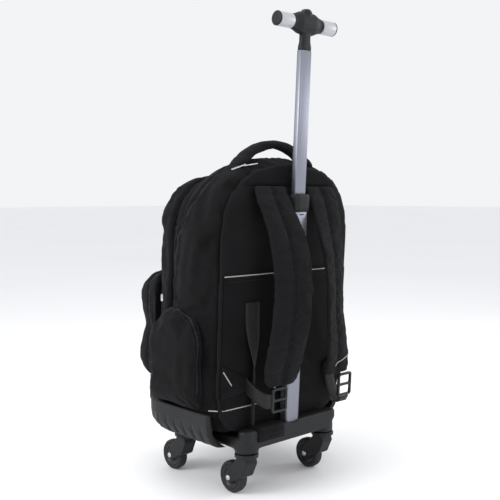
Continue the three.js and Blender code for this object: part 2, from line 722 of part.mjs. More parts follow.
// Side view of the fork as a band round two circles, [y, z] from the swivel to the axle
function forkBand(neckZ) {
  const dy = CASTER_TRAIL;
  const dz = WHEEL_RADIUS - neckZ;
  const heading = Math.atan2(dz, dy);
  const spread = Math.acos((FORK_NECK_RADIUS - CHEEK_END_RADIUS) / Math.hypot(dy, dz));
  const arc = (cy, cz, radius, from, to, steps) => {
    const points = [];
    for (let i = 0; i <= steps; i += 1) {
      const angle = from + ((to - from) * i) / steps;
      points.push(new THREE.Vector2(cy + radius * Math.cos(angle), cz + radius * Math.sin(angle)));
    }
    return points;
  };
  const knee = { y: dy * KNEE_SHARE, z: WHEEL_RADIUS - dz * (1 - KNEE_SHARE) * KNEE_LIFT };
  const under = Math.atan2(WHEEL_RADIUS - knee.z, dy - knee.y) - Math.PI / 2;
  return [
    ...arc(0, neckZ, FORK_NECK_RADIUS, heading + spread, Math.PI, 4),
    ...arc(knee.y, knee.z, KNEE_RADIUS, Math.PI * 1.04, under + 2 * Math.PI, 3),
    ...arc(dy, WHEEL_RADIUS, CHEEK_END_RADIUS, under + 2 * Math.PI, heading + spread + 2 * Math.PI, 5),
  ];
}

function addCasters() {
  const wellHalf = WHEEL_WIDTH / 2 + RUNNING_GAP;
  const forkHalf = wellHalf + CHEEK_THICKNESS;
  const swivelTop = BASE_BOTTOM - GAP;
  const swivelBottom = swivelTop - SWIVEL_THICKNESS;
  const neckZ = swivelBottom - FORK_NECK_RADIUS * 0.6;
  const band = new THREE.ExtrudeGeometry(new THREE.Shape(forkBand(neckZ)), {
    depth: 2 * forkHalf,
    bevelEnabled: false,
  });
  // Shape x, y and depth become the part's Y, Z and X
  const turn = new THREE.Matrix4().set(0, 0, 1, -forkHalf, 1, 0, 0, 0, 0, 1, 0, 0, 0, 0, 0, 1);
  band.applyMatrix4(turn);
  const swivel = turnedAlongZ([
    [swivelBottom, 0],
    [swivelBottom, SWIVEL_RADIUS - SWIVEL_THICKNESS * 0.3],
    [swivelBottom + SWIVEL_THICKNESS * 0.35, SWIVEL_RADIUS],
    [swivelTop, SWIVEL_RADIUS],
    [swivelTop, STEM_RADIUS],
    [BASE_BOTTOM + STEM_LENGTH, STEM_RADIUS],
    [BASE_BOTTOM + STEM_LENGTH, 0],
  ], 12);
  const atAxle = (geometry) => geometry.translate(0, CASTER_TRAIL, WHEEL_RADIUS);
  const wellRadius = WHEEL_RADIUS + RUNNING_GAP * 2;
  const well = atAxle(turnedAlongX([
    [-wellHalf, 0], [-wellHalf, wellRadius], [wellHalf, wellRadius], [wellHalf, 0],
  ], 14));
  const boreRadius = AXLE_RADIUS + GAP;
  const bore = atAxle(turnedAlongX([
    [-forkHalf - 1, 0], [-forkHalf - 1, boreRadius], [forkHalf + 1, boreRadius], [forkHalf + 1, 0],
  ], 8));
  const fork = cut(join(band, swivel), well, bore);
  const headRadius = AXLE_RADIUS * 1.6;
  const headIn = forkHalf + GAP;
  const headOut = headIn + AXLE_RADIUS * 0.5;
  const axle = atAxle(turnedAlongX([
    [-headOut, 0], [-headOut, headRadius], [-headIn, headRadius], [-headIn, AXLE_RADIUS],
    [headIn, AXLE_RADIUS], [headIn, headRadius], [headOut, headRadius], [headOut, 0],
  ], 8));
  const half = WHEEL_WIDTH / 2;
  const rim = WHEEL_RADIUS - TYRE_DEPTH;
  const shoulder = WHEEL_WIDTH * 0.2;
  const tyre = atAxle(turnedAlongX([
    [-half, rim], [-half, WHEEL_RADIUS - shoulder], [-half + shoulder, WHEEL_RADIUS],
    [half - shoulder, WHEEL_RADIUS], [half, WHEEL_RADIUS - shoulder], [half, rim], [-half, rim],
  ], WHEEL_SIDES));
  const hubRim = rim * Math.cos(Math.PI / WHEEL_SIDES) - GAP;
  const hubDish = half * 0.55;
  const hub = atAxle(turnedAlongX([
    [-half, boreRadius], [-half, hubRim * 0.36], [-hubDish, hubRim * 0.42],
    [-hubDish, hubRim * 0.85], [-half, hubRim], [half, hubRim], [hubDish, hubRim * 0.85],
    [hubDish, hubRim * 0.42], [half, hubRim * 0.36], [half, boreRadius], [-half, boreRadius],
  ], 12));
  for (const { name, x, y } of CASTERS) {
    const caster = new THREE.Group();
    caster.position.set(x, y, 0);
    group.add(caster);
    add(`fork_${name}`, fork, PLASTIC, caster);
    add(`axle_${name}`, axle, STEEL, caster);
    add(`tyre_${name}`, tyre, TYRE, caster);
    add(`hub_${name}`, hub, HUB, caster);
  }
}

function addPole() {
  const outerBottom = railTop - FOOT_SOCKET_DEPTH;
  const place = (geometry) => lean(geometry.clone().translate(0, -poleLine, 0));
  const cornerShare = 0.4;
  const tubePost = (width, depth, from, to) =>
    post(width / 2, depth / 2, depth * cornerShare, 2, [{ z: from }, { z: to }]);
  const outer = cut(
    tubePost(OUTER_WIDTH, OUTER_DEPTH, outerBottom, outerTop),
    tubePost(OUTER_WIDTH - 2 * TUBE_WALL, OUTER_DEPTH - 2 * TUBE_WALL, outerBottom - 1, outerTop + 1),
  );
  add('pole_outer', place(outer), ALUMINIUM);
  const collarEdge = COLLAR_HEIGHT * 0.1;
  const collar = cut(
    post(COLLAR_WIDTH / 2, COLLAR_DEPTH / 2, COLLAR_DEPTH * cornerShare, 2, [
      { z: outerTop + GAP, inset: collarEdge },
      { z: outerTop + GAP + collarEdge },
      { z: collarTop - collarEdge },
      { z: collarTop, inset: collarEdge },
    ]),
    tubePost(INNER_WIDTH + 2 * GAP, INNER_DEPTH + 2 * GAP, outerTop - 1, collarTop + 1),
  );
  add('pole_collar', place(collar), PLASTIC);
  const innerBottom = collarTop - POLE_OVERLAP;
  const innerTop = neckBottom - GAP;
  const inner = cut(
    tubePost(INNER_WIDTH, INNER_DEPTH, innerBottom, innerTop),
    tubePost(INNER_WIDTH - 2 * TUBE_WALL, INNER_DEPTH - 2 * TUBE_WALL, innerBottom - 1, innerTop + 1),
  );
  add('pole_inner', place(inner), ALUMINIUM);

  const neck = loft([
    { share: 0, x: INNER_WIDTH * 0.5, y: INNER_DEPTH * 0.5 },
    { share: 0.2, x: INNER_WIDTH * 0.49, y: INNER_DEPTH * 0.5 },
    { share: 0.5, x: INNER_WIDTH * 0.4, y: INNER_DEPTH * 0.46 },
    { share: 1, x: INNER_WIDTH * 0.4, y: INNER_DEPTH * 0.46 },
    { share: 1.3, x: INNER_WIDTH * 0.62, y: INNER_DEPTH * 0.5 },
  ].map(({ share, x, y }) => roundedOutline(x, y, Math.min(x, y) * 0.8, 3)
    .map(([u, v]) => [u, v, neckBottom + NECK_HEIGHT * share])));
  const plugSlack = 2 * (TUBE_WALL + GAP);
  const plug = tubePost(
    INNER_WIDTH - plugSlack, INNER_DEPTH - plugSlack, neckBottom - NECK_PLUG, neckBottom + 1,
  );
  const middle = turnedAlongX([
    [-MIDDLE_HALF_LENGTH, 0],
    [-MIDDLE_HALF_LENGTH, GRIP_RADIUS],
    [-MIDDLE_HALF_LENGTH * 0.8, GRIP_RADIUS * 1.12],
    [-MIDDLE_HALF_LENGTH * 0.45, MIDDLE_RADIUS],
    [MIDDLE_HALF_LENGTH * 0.45, MIDDLE_RADIUS],
    [MIDDLE_HALF_LENGTH * 0.8, GRIP_RADIUS * 1.12],
    [MIDDLE_HALF_LENGTH, GRIP_RADIUS],
    [MIDDLE_HALF_LENGTH, 0],
  ], 12).scale(1, MIDDLE_DEPTH_SHARE, 1).translate(0, 0, gripLine);
  const spigotRadius = GRIP_RADIUS - GRIP_WALL - GAP;
  const gripEnd = MIDDLE_HALF_LENGTH + GAP + GRIP_LENGTH;
  const spigot = turnedAlongX([
    [-gripEnd + GRIP_WALL, 0], [-gripEnd + GRIP_WALL, spigotRadius],
    [gripEnd - GRIP_WALL, spigotRadius], [gripEnd - GRIP_WALL, 0],
  ], 12).translate(0, 0, gripLine);
  const buttonTop = gripLine + MIDDLE_RADIUS + BUTTON_PROUD;
  const buttonDepth = BUTTON_PROUD + BUTTON_TRAVEL + GRIP_WALL;
  const buttonWell = turnedAlongZ([
    [buttonTop - buttonDepth - BUTTON_TRAVEL - GAP, 0],
    [buttonTop - buttonDepth - BUTTON_TRAVEL - GAP, BUTTON_RADIUS + GAP],
    [buttonTop + BUTTON_TRAVEL, BUTTON_RADIUS + GAP],
    [buttonTop + BUTTON_TRAVEL, 0],
  ], 12);
  const collarRing = turnedAlongZ([
    [gripLine, 0],
    [gripLine, BUTTON_RADIUS + GRIP_WALL * 1.5],
    [gripLine + MIDDLE_RADIUS + GRIP_WALL * 0.6, BUTTON_RADIUS + GRIP_WALL * 1.2],
    [gripLine + MIDDLE_RADIUS + GRIP_WALL * 0.6, 0],
  ], 12);
  const body = join(neck, plug, middle, spigot, collarRing);
  add('handle_body', place(cut(body, buttonWell)), PLASTIC);
  const button = turnedAlongZ([
    [buttonTop - buttonDepth, 0],
    [buttonTop - buttonDepth, BUTTON_RADIUS],
    [buttonTop - BUTTON_PROUD * 0.35, BUTTON_RADIUS],
    [buttonTop - BUTTON_PROUD * 0.1, BUTTON_RADIUS * 0.75],
    [buttonTop, BUTTON_RADIUS * 0.4],
    [buttonTop, 0],
  ], 12);
  add('release_button', place(button), PLASTIC);
  const grip = turnedAlongX([
    [-gripEnd, spigotRadius + GAP], [-gripEnd, GRIP_RADIUS - GRIP_WALL * 0.4],
    [-gripEnd + GRIP_WALL * 0.5, GRIP_RADIUS], [-MIDDLE_HALF_LENGTH - GAP, GRIP_RADIUS],
    [-MIDDLE_HALF_LENGTH - GAP, spigotRadius + GAP], [-gripEnd, spigotRadius + GAP],
  ], 14).translate(0, 0, gripLine);
  const cap = turnedAlongX([
    [-gripEnd - CAP_THICKNESS, 0],
    [-gripEnd - CAP_THICKNESS, GRIP_RADIUS * 0.75],
    [-gripEnd - CAP_THICKNESS * 0.6, GRIP_RADIUS * 0.93],
    [-gripEnd - GAP, GRIP_RADIUS],
    [-gripEnd - GAP, 0],
  ], 14).translate(0, 0, gripLine);
  for (const { side, sign } of SIDES) {
    add(`grip_${side}`, place(sided(grip, sign)), GRIP_SILVER);
    add(`grip_cap_${side}`, place(sided(cap, sign)), PLASTIC);
  }
}

function addCarryHandle() {
  const top = bagTop - GAP;
  const y = -BAG_REAR + HANDLE_SET_FORWARD;
  const path = new THREE.CatmullRomCurve3(HANDLE_PATH.map(({ across, rise }) =>
    new THREE.Vector3(HANDLE_HALF_SPAN * across, y, top + HANDLE_RISE * rise)));
  const section = roundedOutline(HANDLE_WIDTH / 2, HANDLE_THICKNESS / 2, HANDLE_THICKNESS / 2, 2);
  const steps = 12;
  const rings = [];
  for (let i = 0; i <= steps; i += 1) {
    const at = path.getPoint(i / steps);
    const along = path.getTangent(i / steps);
    const out = new THREE.Vector3(-along.z, 0, along.x);
    const flare = 1 + HANDLE_FLARE * (at.x / HANDLE_HALF_SPAN) ** 4;
    rings.push(section.map(([across, thick]) =>
      [at.x + out.x * thick * flare, at.y + across * flare, at.z + out.z * thick * flare]));
  }
  add('carry_handle', lean(cut(loft(rings), bagForm)), PADDED_CLOTH);
}

// Where a strap's middle line lies, in the part's frame before the lean
function strapLine(row, sign) {
  const splay = sign > 0 ? STRAP_SPLAY * Math.max(0, row.down - 0.55) ** 2 * 4.5 : 0;
  return {
    x: sign * (STRAP_OFFSET * row.centre + splay),
    y: -panelBack - GAP - STRAP_THICKNESS * 0.45 - STRAP_BOW * row.bow,
    z: yokeLine - GAP - STRAP_DROP * row.down,
  };
}

function strapRings(sign) {
  return STRAP_SECTIONS.map((row, i) => {
    const before = strapLine(STRAP_SECTIONS[Math.max(i - 1, 0)], sign);
    const after = strapLine(STRAP_SECTIONS[Math.min(i + 1, STRAP_SECTIONS.length - 1)], sign);
    const slope = i === 0 ? Math.PI / 2 : Math.atan2(before.z - after.z, before.y - after.y);
    const face = [-Math.sin(slope), Math.cos(slope)];
    const at = strapLine(row, sign);
    const yaw = THREE.MathUtils.degToRad(row.yaw) * sign;
    const half = (STRAP_WIDTH * row.width) / 2;
    const front = [
      ...STRAP_PROFILE.map(({ across, face: rise }) => [across, rise]),
      ...STRAP_PROFILE.slice(0, -1).map(({ across, face: rise }) => [-across, rise]).reverse(),
    ];
    const back = [[-0.92, -0.34], [-0.4, -0.4], [0.4, -0.4], [0.92, -0.34]];
    return [...front, ...back].map(([across, rise]) => {
      const u = across * half;
      const v = rise * STRAP_THICKNESS;
      return [
        at.x + u * Math.cos(yaw),
        at.y + u * Math.sin(yaw) + face[0] * v,
        at.z + face[1] * v,
      ];
    });
  });
}

// Flat strip along a list of places, each with the way its width runs
function strip(places, width, thickness) {
  return loft(places.map(({ at, across, narrow = 1 }, i) => {
    const before = new THREE.Vector3(...places[Math.max(i - 1, 0)].at);
    const after = new THREE.Vector3(...places[Math.min(i + 1, places.length - 1)].at);
    const along = after.sub(before).normalize();
    const wide = new THREE.Vector3(...across).normalize();
    const normal = new THREE.Vector3().crossVectors(along, wide).normalize();
    return [[1, 1], [-1, 1], [-1, -1], [1, -1]].map(([u, v]) => {
      const point = new THREE.Vector3(...at)
        .addScaledVector(wide, (u * width * narrow) / 2)
        .addScaledVector(normal, (v * thickness) / 2);
      return point.toArray();
    });
  }));
}

function addStraps() {
  const last = STRAP_SECTIONS[STRAP_SECTIONS.length - 1];
  for (const { side, sign } of SIDES) {
    add(`shoulder_strap_${side}`, lean(loft(strapRings(sign))), PADDED_CLOTH);

    const end = strapLine(last, sign);
    const plate = post(LOCK_WIDTH / 2, LOCK_HEIGHT / 2, LOCK_BAR, 2, [
      { z: -LOCK_THICKNESS / 2 },
      { z: LOCK_THICKNESS / 2 },
    ]);
    const slotHalfWidth = LOCK_WIDTH / 2 - LOCK_BAR;
    const slotHeight = (LOCK_HEIGHT - 3 * LOCK_BAR) / 2;
    const slots = [-1, 1].map((row) => {
      const middle = (row * (slotHeight + LOCK_BAR)) / 2;
      const tall = [middle - slotHeight / 2, middle + slotHeight / 2];
      return block([-slotHalfWidth, slotHalfWidth], tall, [-LOCK_THICKNESS, LOCK_THICKNESS]);
    });
    const lockPlate = cut(plate, ...slots).rotateX(Math.PI / 2);
    const lockX = end.x + (sign > 0 ? LOCK_OFFSET : 0);
    const lockZ = end.z - GAP - STRAP_THICKNESS * 0.25 - LOCK_HEIGHT / 2;
    lockPlate.translate(lockX, end.y, lockZ);
    add(`ladder_lock_${side}`, lean(lockPlate), PLASTIC);

    const wingY = -panelBack - GAP - BACK_POCKET_THICKNESS - GAP;
    const wingZ = bagBottom + WING_CENTRE;
    const outer = BAG_HALF_WIDTH - PANEL_INSET - PANEL_EDGE;
    const wingTip = -STRAP_OFFSET * last.centre - LOCK_WIDTH / 2 - WEBBING_RUN;
    const wing = new THREE.Shape([
      new THREE.Vector2(-outer, wingZ + WING_HEIGHT * 0.5),
      new THREE.Vector2(-outer, wingZ - WING_HEIGHT * 0.5),
      new THREE.Vector2(wingTip, wingZ - WING_HEIGHT * 0.32),
      new THREE.Vector2(wingTip, wingZ + WING_HEIGHT * 0.06),
    ]);
    const wingPlate = new THREE.ExtrudeGeometry(wing, { depth: WING_THICKNESS, bevelEnabled: false });
    wingPlate.rotateX(Math.PI / 2).translate(0, wingY, 0);
    add(`wing_${side}`, lean(sided(wingPlate, sign)), CLOTH);

    // On the right the buckle hangs further out, so the webbing leaves the wing's face instead
    const upright = sign > 0;
    const overWing = wingY - WING_THICKNESS - GAP - WEBBING_THICKNESS / 2;
    const start = upright
      ? [wingTip - WEBBING_WIDTH * 0.6, overWing, wingZ]
      : [wingTip + WEBBING_THICKNESS / 2 + GAP, wingY - WING_THICKNESS / 2, wingZ - WING_HEIGHT * 0.13];
    const finish = upright
      ? [-lockX, end.y, lockZ - LOCK_HEIGHT / 2 - GAP]
      : [lockX - LOCK_WIDTH / 2 - GAP, end.y, lockZ];
    const places = (upright ? RIGHT_WEBBING : LEFT_WEBBING).map(({ x, y, z, sag }) => ({
      at: [x, y, z].map((share, axis) =>
        start[axis] + (finish[axis] - start[axis]) * share - (axis === 2 ? WEBBING_WIDTH * sag : 0)),
      across: upright ? [1, 0, 0] : [0, 0, 1],
    }));
    const webbing = strip(places, WEBBING_WIDTH, WEBBING_THICKNESS);
    add(`strap_webbing_${side}`, lean(sided(webbing, sign)), WEBBING);
  }
}

function addRibbonAndFlap() {
  const back = -panelBack - 2 * GAP - BACK_POCKET_THICKNESS - WEBBING_THICKNESS / 2;
  const foot = railTop + 2 * (FLAP_THICKNESS + GAP);
  const places = [];
  const steps = 11;
  for (let i = 0; i <= steps; i += 1) {
    const share = i / steps;
    const turn = RIBBON_TWIST_ANGLE * THREE.MathUtils.smoothstep(share, 0.15, 0.7);
    const half = (RIBBON_WIDTH / 2) * (1 - 0.5 * THREE.MathUtils.smoothstep(share, 0.3, 0.7));
    const x = -RIBBON_X + half * 0.6 * share;
    places.push({
      at: [x, back - half * Math.sin(turn), foot + RIBBON_LENGTH * (1 - share)],
      across: [Math.cos(turn), Math.sin(turn), 0],
      narrow: (2 * half) / RIBBON_WIDTH,
    });
  }
  add('tie_ribbon', lean(strip(places, RIBBON_WIDTH, WEBBING_THICKNESS)), WEBBING);

  const right = -OUTER_WIDTH * 0.8;
  const low = railTop - FLAP_DROP;
  const bend = FLAP_THICKNESS + GAP;
  const rear = -baseHalfDepth - GAP;
  const inner = -panelBack - GAP - RAKE * (RAIL_RISE + WEBBING_WIDTH);
  const profile = [
    [inner, railTop + GAP], [rear - bend * 0.3, railTop + GAP], [rear, railTop - bend],
    [rear, low], [rear - FLAP_THICKNESS, low],
    [rear - FLAP_THICKNESS, railTop - bend * 0.4], [rear - bend * 0.6, railTop + bend],
    [inner, railTop + bend],
  ];
  const outline = new THREE.Shape(profile.map(([y, z]) => new THREE.Vector2(y, z)));
  const flap = new THREE.ExtrudeGeometry(outline, { depth: FLAP_WIDTH, bevelEnabled: false });
  flap.applyMatrix4(new THREE.Matrix4().set(
    0, 0, 1, right - FLAP_WIDTH, 1, 0, 0, 0, 0, 1, 0, 0, 0, 0, 0, 1,
  ));
  add('rail_flap', flap, CLOTH);
}

function addPulls() {
  // A pull hangs from its top end with its back face to the cloth
  const pull = (length) => {
    const shape = new THREE.Shape(roundedOutline(PULL_WIDTH / 2, length / 2, PULL_WIDTH * 0.4, 2)
      .map(([x, y]) => new THREE.Vector2(x, y)));
    return new THREE.ExtrudeGeometry(shape, { depth: PULL_THICKNESS, bevelEnabled: false })
      .translate(0, -length / 2, 0);
  };
  const seatOn = (node, from, toward) =>
    new THREE.Raycaster(from, toward).intersectObject(group.getObjectByName(node))[0];
  const lay = (geometry, facing, seat) => {
    const turn = new THREE.Quaternion().setFromUnitVectors(facing, seat.face.normal);
    const place = seat.point.clone().addScaledVector(seat.face.normal, GAP);
    return geometry.applyQuaternion(turn).translate(place.x, place.y, place.z);
  };
  const up = new THREE.Vector3(0, 0, 1);
  const left = new THREE.Vector3(-1, 0, 0);
  const outside = -2 * BAG_HALF_WIDTH;
  const upright = (length) => pull(length).rotateX(Math.PI / 2).rotateZ(-Math.PI / 2);

  const sideZ = bagBottom + SIDE_POCKET_LOW + SIDE_POCKET_HEIGHT + SIDE_PULL_LENGTH / 2;
  const sideY = SIDE_POCKET_CENTRE + SIDE_POCKET_LENGTH * 0.375 - RAKE * (sideZ - baseTop);
  const sideFrom = new THREE.Vector3(outside, sideY, sideZ);
  const sideSeat = seatOn('front_compartment', sideFrom, left.clone().negate());
  const sidePull = upright(SIDE_PULL_LENGTH).translate(0, 0, SIDE_PULL_LENGTH / 2);
  lay(sidePull, left, sideSeat);
  for (const { side, sign } of SIDES) {
    add(`side_pull_${side}`, sided(sidePull, sign), STEEL);
  }

  const frontZ = bagBottom + FRONT_POCKET_LOW + FRONT_POCKET_CORNER * 0.37;
  const frontY = bagFront + FRONT_POCKET_BULGE * 0.14 - RAKE * (frontZ - baseTop);
  const frontFrom = new THREE.Vector3(outside, frontY, frontZ);
  const { point } = seatOn('front_pocket', frontFrom, left.clone().negate());
  const frontPull = upright(FRONT_PULL_LENGTH).translate(point.x - 2 * GAP, frontY, frontZ);
  add('front_pull', frontPull, WEBBING);

  for (const { name, x, y, yaw } of TOP_PULLS) {
    const leanHere = RAKE * (bagTop - baseTop);
    const above = new THREE.Vector3(x * HANDLE_HALF_SPAN, y * BAG_REAR - leanHere, 2 * bagTop);
    const seat = seatOn('main_compartment', above, up.clone().negate());
    const topPull = pull(TOP_PULL_LENGTH).translate(0, TOP_PULL_LENGTH / 2, 0)
      .rotateZ(THREE.MathUtils.degToRad(90 + yaw));
    add(name, lay(topPull, up, seat), STEEL);
  }
}

addBagShells();
addBack();
addSidePockets();
addFrontPocket();
addGuards();
addBase();
addCasters();
addPole();
addCarryHandle();
addStraps();
addRibbonAndFlap();
addPulls();

// The origin is on the floor under the middle of the part's box
group.updateMatrixWorld(true);
const bounds = new THREE.Box3().setFromObject(group, true);
group.position.y = -(bounds.min.y + bounds.max.y) / 2;

export default group;
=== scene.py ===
import math

import bmesh
import bpy
import numpy as np
from mathutils import Matrix, Vector
from mathutils.bvhtree import BVHTree
from mathutils.kdtree import KDTree


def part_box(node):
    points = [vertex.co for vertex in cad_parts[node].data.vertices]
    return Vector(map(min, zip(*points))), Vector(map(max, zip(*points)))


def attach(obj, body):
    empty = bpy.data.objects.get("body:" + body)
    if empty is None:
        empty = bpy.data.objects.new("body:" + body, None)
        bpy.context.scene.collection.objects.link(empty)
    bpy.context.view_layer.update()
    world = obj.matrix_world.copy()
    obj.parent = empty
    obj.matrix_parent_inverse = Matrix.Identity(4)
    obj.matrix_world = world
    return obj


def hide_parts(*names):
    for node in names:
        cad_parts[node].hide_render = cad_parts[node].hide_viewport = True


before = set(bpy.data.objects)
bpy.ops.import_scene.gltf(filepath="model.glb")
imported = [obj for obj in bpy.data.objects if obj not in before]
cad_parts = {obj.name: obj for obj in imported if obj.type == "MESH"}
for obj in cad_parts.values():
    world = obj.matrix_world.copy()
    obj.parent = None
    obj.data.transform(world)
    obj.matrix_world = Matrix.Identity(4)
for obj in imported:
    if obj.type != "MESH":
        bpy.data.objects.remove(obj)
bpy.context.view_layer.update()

# The view: the photograph looks at the wearer's side of the bag from its left, at desk height.
# The bag stands on a pale matt floor in a pale room, under three soft boxes and a large top light.
EYE = Vector((-1.014, -1.0875, 0.520))
LOOK = Vector((0.682, 0.731, 0.0))
LOOK_DOWN = math.radians(3.93)
LENS = 57.6
FLOOR_HALF = 30.0


def linear(colour):
    """A colour given as six sRGB hex digits, as the renderer's linear values."""
    shares = [int(colour[k : k + 2], 16) / 255 for k in (0, 2, 4)]
    return [c / 12.92 if c <= 0.04045 else ((c + 0.055) / 1.055) ** 2.4 for c in shares] + [1.0]


def add_node(tree, kind, settings=None, links=None):
    """Adds one node: its settings by property, and its sockets set to a value or fed from another socket."""
    node = tree.nodes.new(kind)
    for key, value in (settings or {}).items():
        setattr(node, key, value)
    for key, value in (links or {}).items():
        if isinstance(value, bpy.types.NodeSocket):
            tree.links.new(value, node.inputs[key])
        else:
            node.inputs[key].default_value = value
    return node


def new_finish(name, **shader_values):
    """A material with its shader's own sockets set, and the place on the object that its patterns read."""
    finish = bpy.data.materials.new(name)
    finish.use_nodes = True
    tree = finish.node_tree
    shader = tree.nodes["Principled BSDF"]
    for key, value in shader_values.items():
        shader.inputs[key.replace("_", " ")].default_value = value
    place = add_node(tree, "ShaderNodeTexCoord").outputs["Object"]
    return finish, tree, shader, place


camera = bpy.data.objects.new("camera", bpy.data.cameras.new("camera"))
bpy.context.scene.collection.objects.link(camera)
camera.data.lens = LENS
camera.data.sensor_width = 36.0
camera.data.clip_start = 0.05
camera.data.clip_end = 200.0
camera.location = EYE
sight = LOOK.normalized() * math.cos(LOOK_DOWN) - Vector((0, 0, math.sin(LOOK_DOWN)))
camera.rotation_mode = "QUATERNION"
camera.rotation_quaternion = sight.to_track_quat("-Z", "Y")
bpy.context.scene.camera = camera

# Painted studio floor: matt, with the faint cloudiness of rolled paint
floor_finish, tree, shader, place = new_finish("rolled_matt_paint", Roughness=0.9)
cloud = add_node(tree, "ShaderNodeTexNoise", None, {"Vector": place, "Scale": 0.8, "Detail": 2.0})
tone = add_node(tree, "ShaderNodeMix", {"data_type": "RGBA"}, {"Factor": cloud.outputs["Fac"]})
tone.inputs["A"].default_value = linear("f2f2f3")
tone.inputs["B"].default_value = linear("f7f7f8")
tree.links.new(tone.outputs["Result"], shader.inputs["Base Color"])
floor_mesh = bpy.data.meshes.new("floor")
floor_mesh.from_pydata(
    [(x * FLOOR_HALF, y * FLOOR_HALF, 0.0) for x, y in ((-1, -1), (1, -1), (1, 1), (-1, 1))],
    [],
    [(0, 1, 2, 3)],
)
floor_mesh.materials.append(floor_finish)
floor = bpy.data.objects.new("floor", floor_mesh)
bpy.context.scene.collection.objects.link(floor)

# The room is as pale as the floor, and fills the shadows evenly
room = bpy.data.worlds.new("pale_room")
room.use_nodes = True
room.node_tree.nodes["Background"].inputs["Color"].default_value = linear("f6f7f9")
room.node_tree.nodes["Background"].inputs["Strength"].default_value = 0.97
bpy.context.scene.world = room
bpy.context.scene.view_settings.view_transform = "Standard"

SOFT_BOXES = (
    # name, place, aimed at, width, watts
    ("box_left", (-1.9, 0.4, 1.3), (0.0, 0.0, 0.35), 1.0, 24),
    ("box_behind_camera", (-0.2, -2.3, 1.5), (0.0, 0.0, 0.35), 1.2, 9),
    ("box_right", (1.8, -1.0, 1.0), (0.0, -0.1, 0.4), 0.8, 9),
    ("box_top", (-0.2, 0.1, 2.4), (0.0, 0.0, 0.4), 1.4, 12),
)
for name, spot, aim, width, watts in SOFT_BOXES:
    lamp = bpy.data.lights.new(name, "AREA")
    lamp.size = width
    lamp.energy = watts
    box = bpy.data.objects.new(name, lamp)
    bpy.context.scene.collection.objects.link(box)
    box.location = spot
    box.rotation_euler = (Vector(aim) - Vector(spot)).to_track_quat("-Z", "Y").to_euler()

# The bag: two bowls of black 600-denier polyester over thin foam, joined round the crease of the
# front compartment's zip. Stuffed from inside, the cloth stands out between the seams.
LEAN = Vector((0.0, 0.998598, 0.052926))
BAG_VOXEL = 0.005
BAG_PULL_IN = 0.003
BAG_SWELL = 0.006


def copy_of(*nodes):
    """The skin of CAD nodes with its corners merged, ready to work on."""
    bm = bmesh.new()
    for node in nodes:
        bm.from_mesh(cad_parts[node].data)
    bmesh.ops.remove_doubles(bm, verts=bm.verts, dist=1e-5)
    return bm


def new_piece(name, bm, finish, body="bag"):
    """An object from a worked mesh, with one finish, riding on a body."""
    mesh = bpy.data.meshes.new(name)
    bm.to_mesh(mesh)
    bm.free()
    mesh.materials.append(finish)
    mesh.shade_smooth()
    piece = bpy.data.objects.new(name, mesh)
    bpy.context.scene.collection.objects.link(piece)
    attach(piece, body)
    return piece


def applied(piece, kind, **settings):
    """One modifier set, worked into the mesh and removed."""
    step = piece.modifiers.new(kind.lower(), kind)
    for key, value in settings.items():
        setattr(step, key, value)
    sight_of = bpy.context.evaluated_depsgraph_get()
    mesh = bpy.data.meshes.new_from_object(piece.evaluated_get(sight_of))
    old = piece.data
    finish = old.materials[0]
    piece.modifiers.remove(step)
    piece.data = mesh
    bpy.data.meshes.remove(old)
    mesh.name = piece.name
    mesh.materials.clear()
    mesh.materials.append(finish)
    mesh.polygons.foreach_set("material_index", np.zeros(len(mesh.polygons), dtype=np.int32))
    mesh.shade_smooth()
    return piece


def points_of(piece, layer="co"):
    """Corners (co) or corner normals (normal) of a mesh as rows of numbers."""
    rows = np.empty(len(piece.data.vertices) * 3)
    piece.data.vertices.foreach_get(layer, rows)
    return rows.reshape(-1, 3)


def move_points(piece, rows):
    piece.data.vertices.foreach_set("co", rows.ravel())
    piece.data.update()


def relax(piece, turns, share=0.5, free=None):
    """Evens a mesh: each corner goes a share of the way to the middle of its neighbours."""
    rows = points_of(piece)
    ends = np.empty(len(piece.data.edges) * 2, dtype=np.int64)
    piece.data.edges.foreach_get("vertices", ends)
    a, b = ends[0::2], ends[1::2]
    count = np.bincount(a, minlength=len(rows)) + np.bincount(b, minlength=len(rows))
    weight = share if free is None else share * free[:, None]
    for _ in range(turns):
        middle = np.empty_like(rows)
        for axis in range(3):
            middle[:, axis] = np.bincount(a, rows[b, axis], len(rows))
            middle[:, axis] += np.bincount(b, rows[a, axis], len(rows))
        rows += weight * (middle / count[:, None] - rows)
    move_points(piece, rows)
    return piece


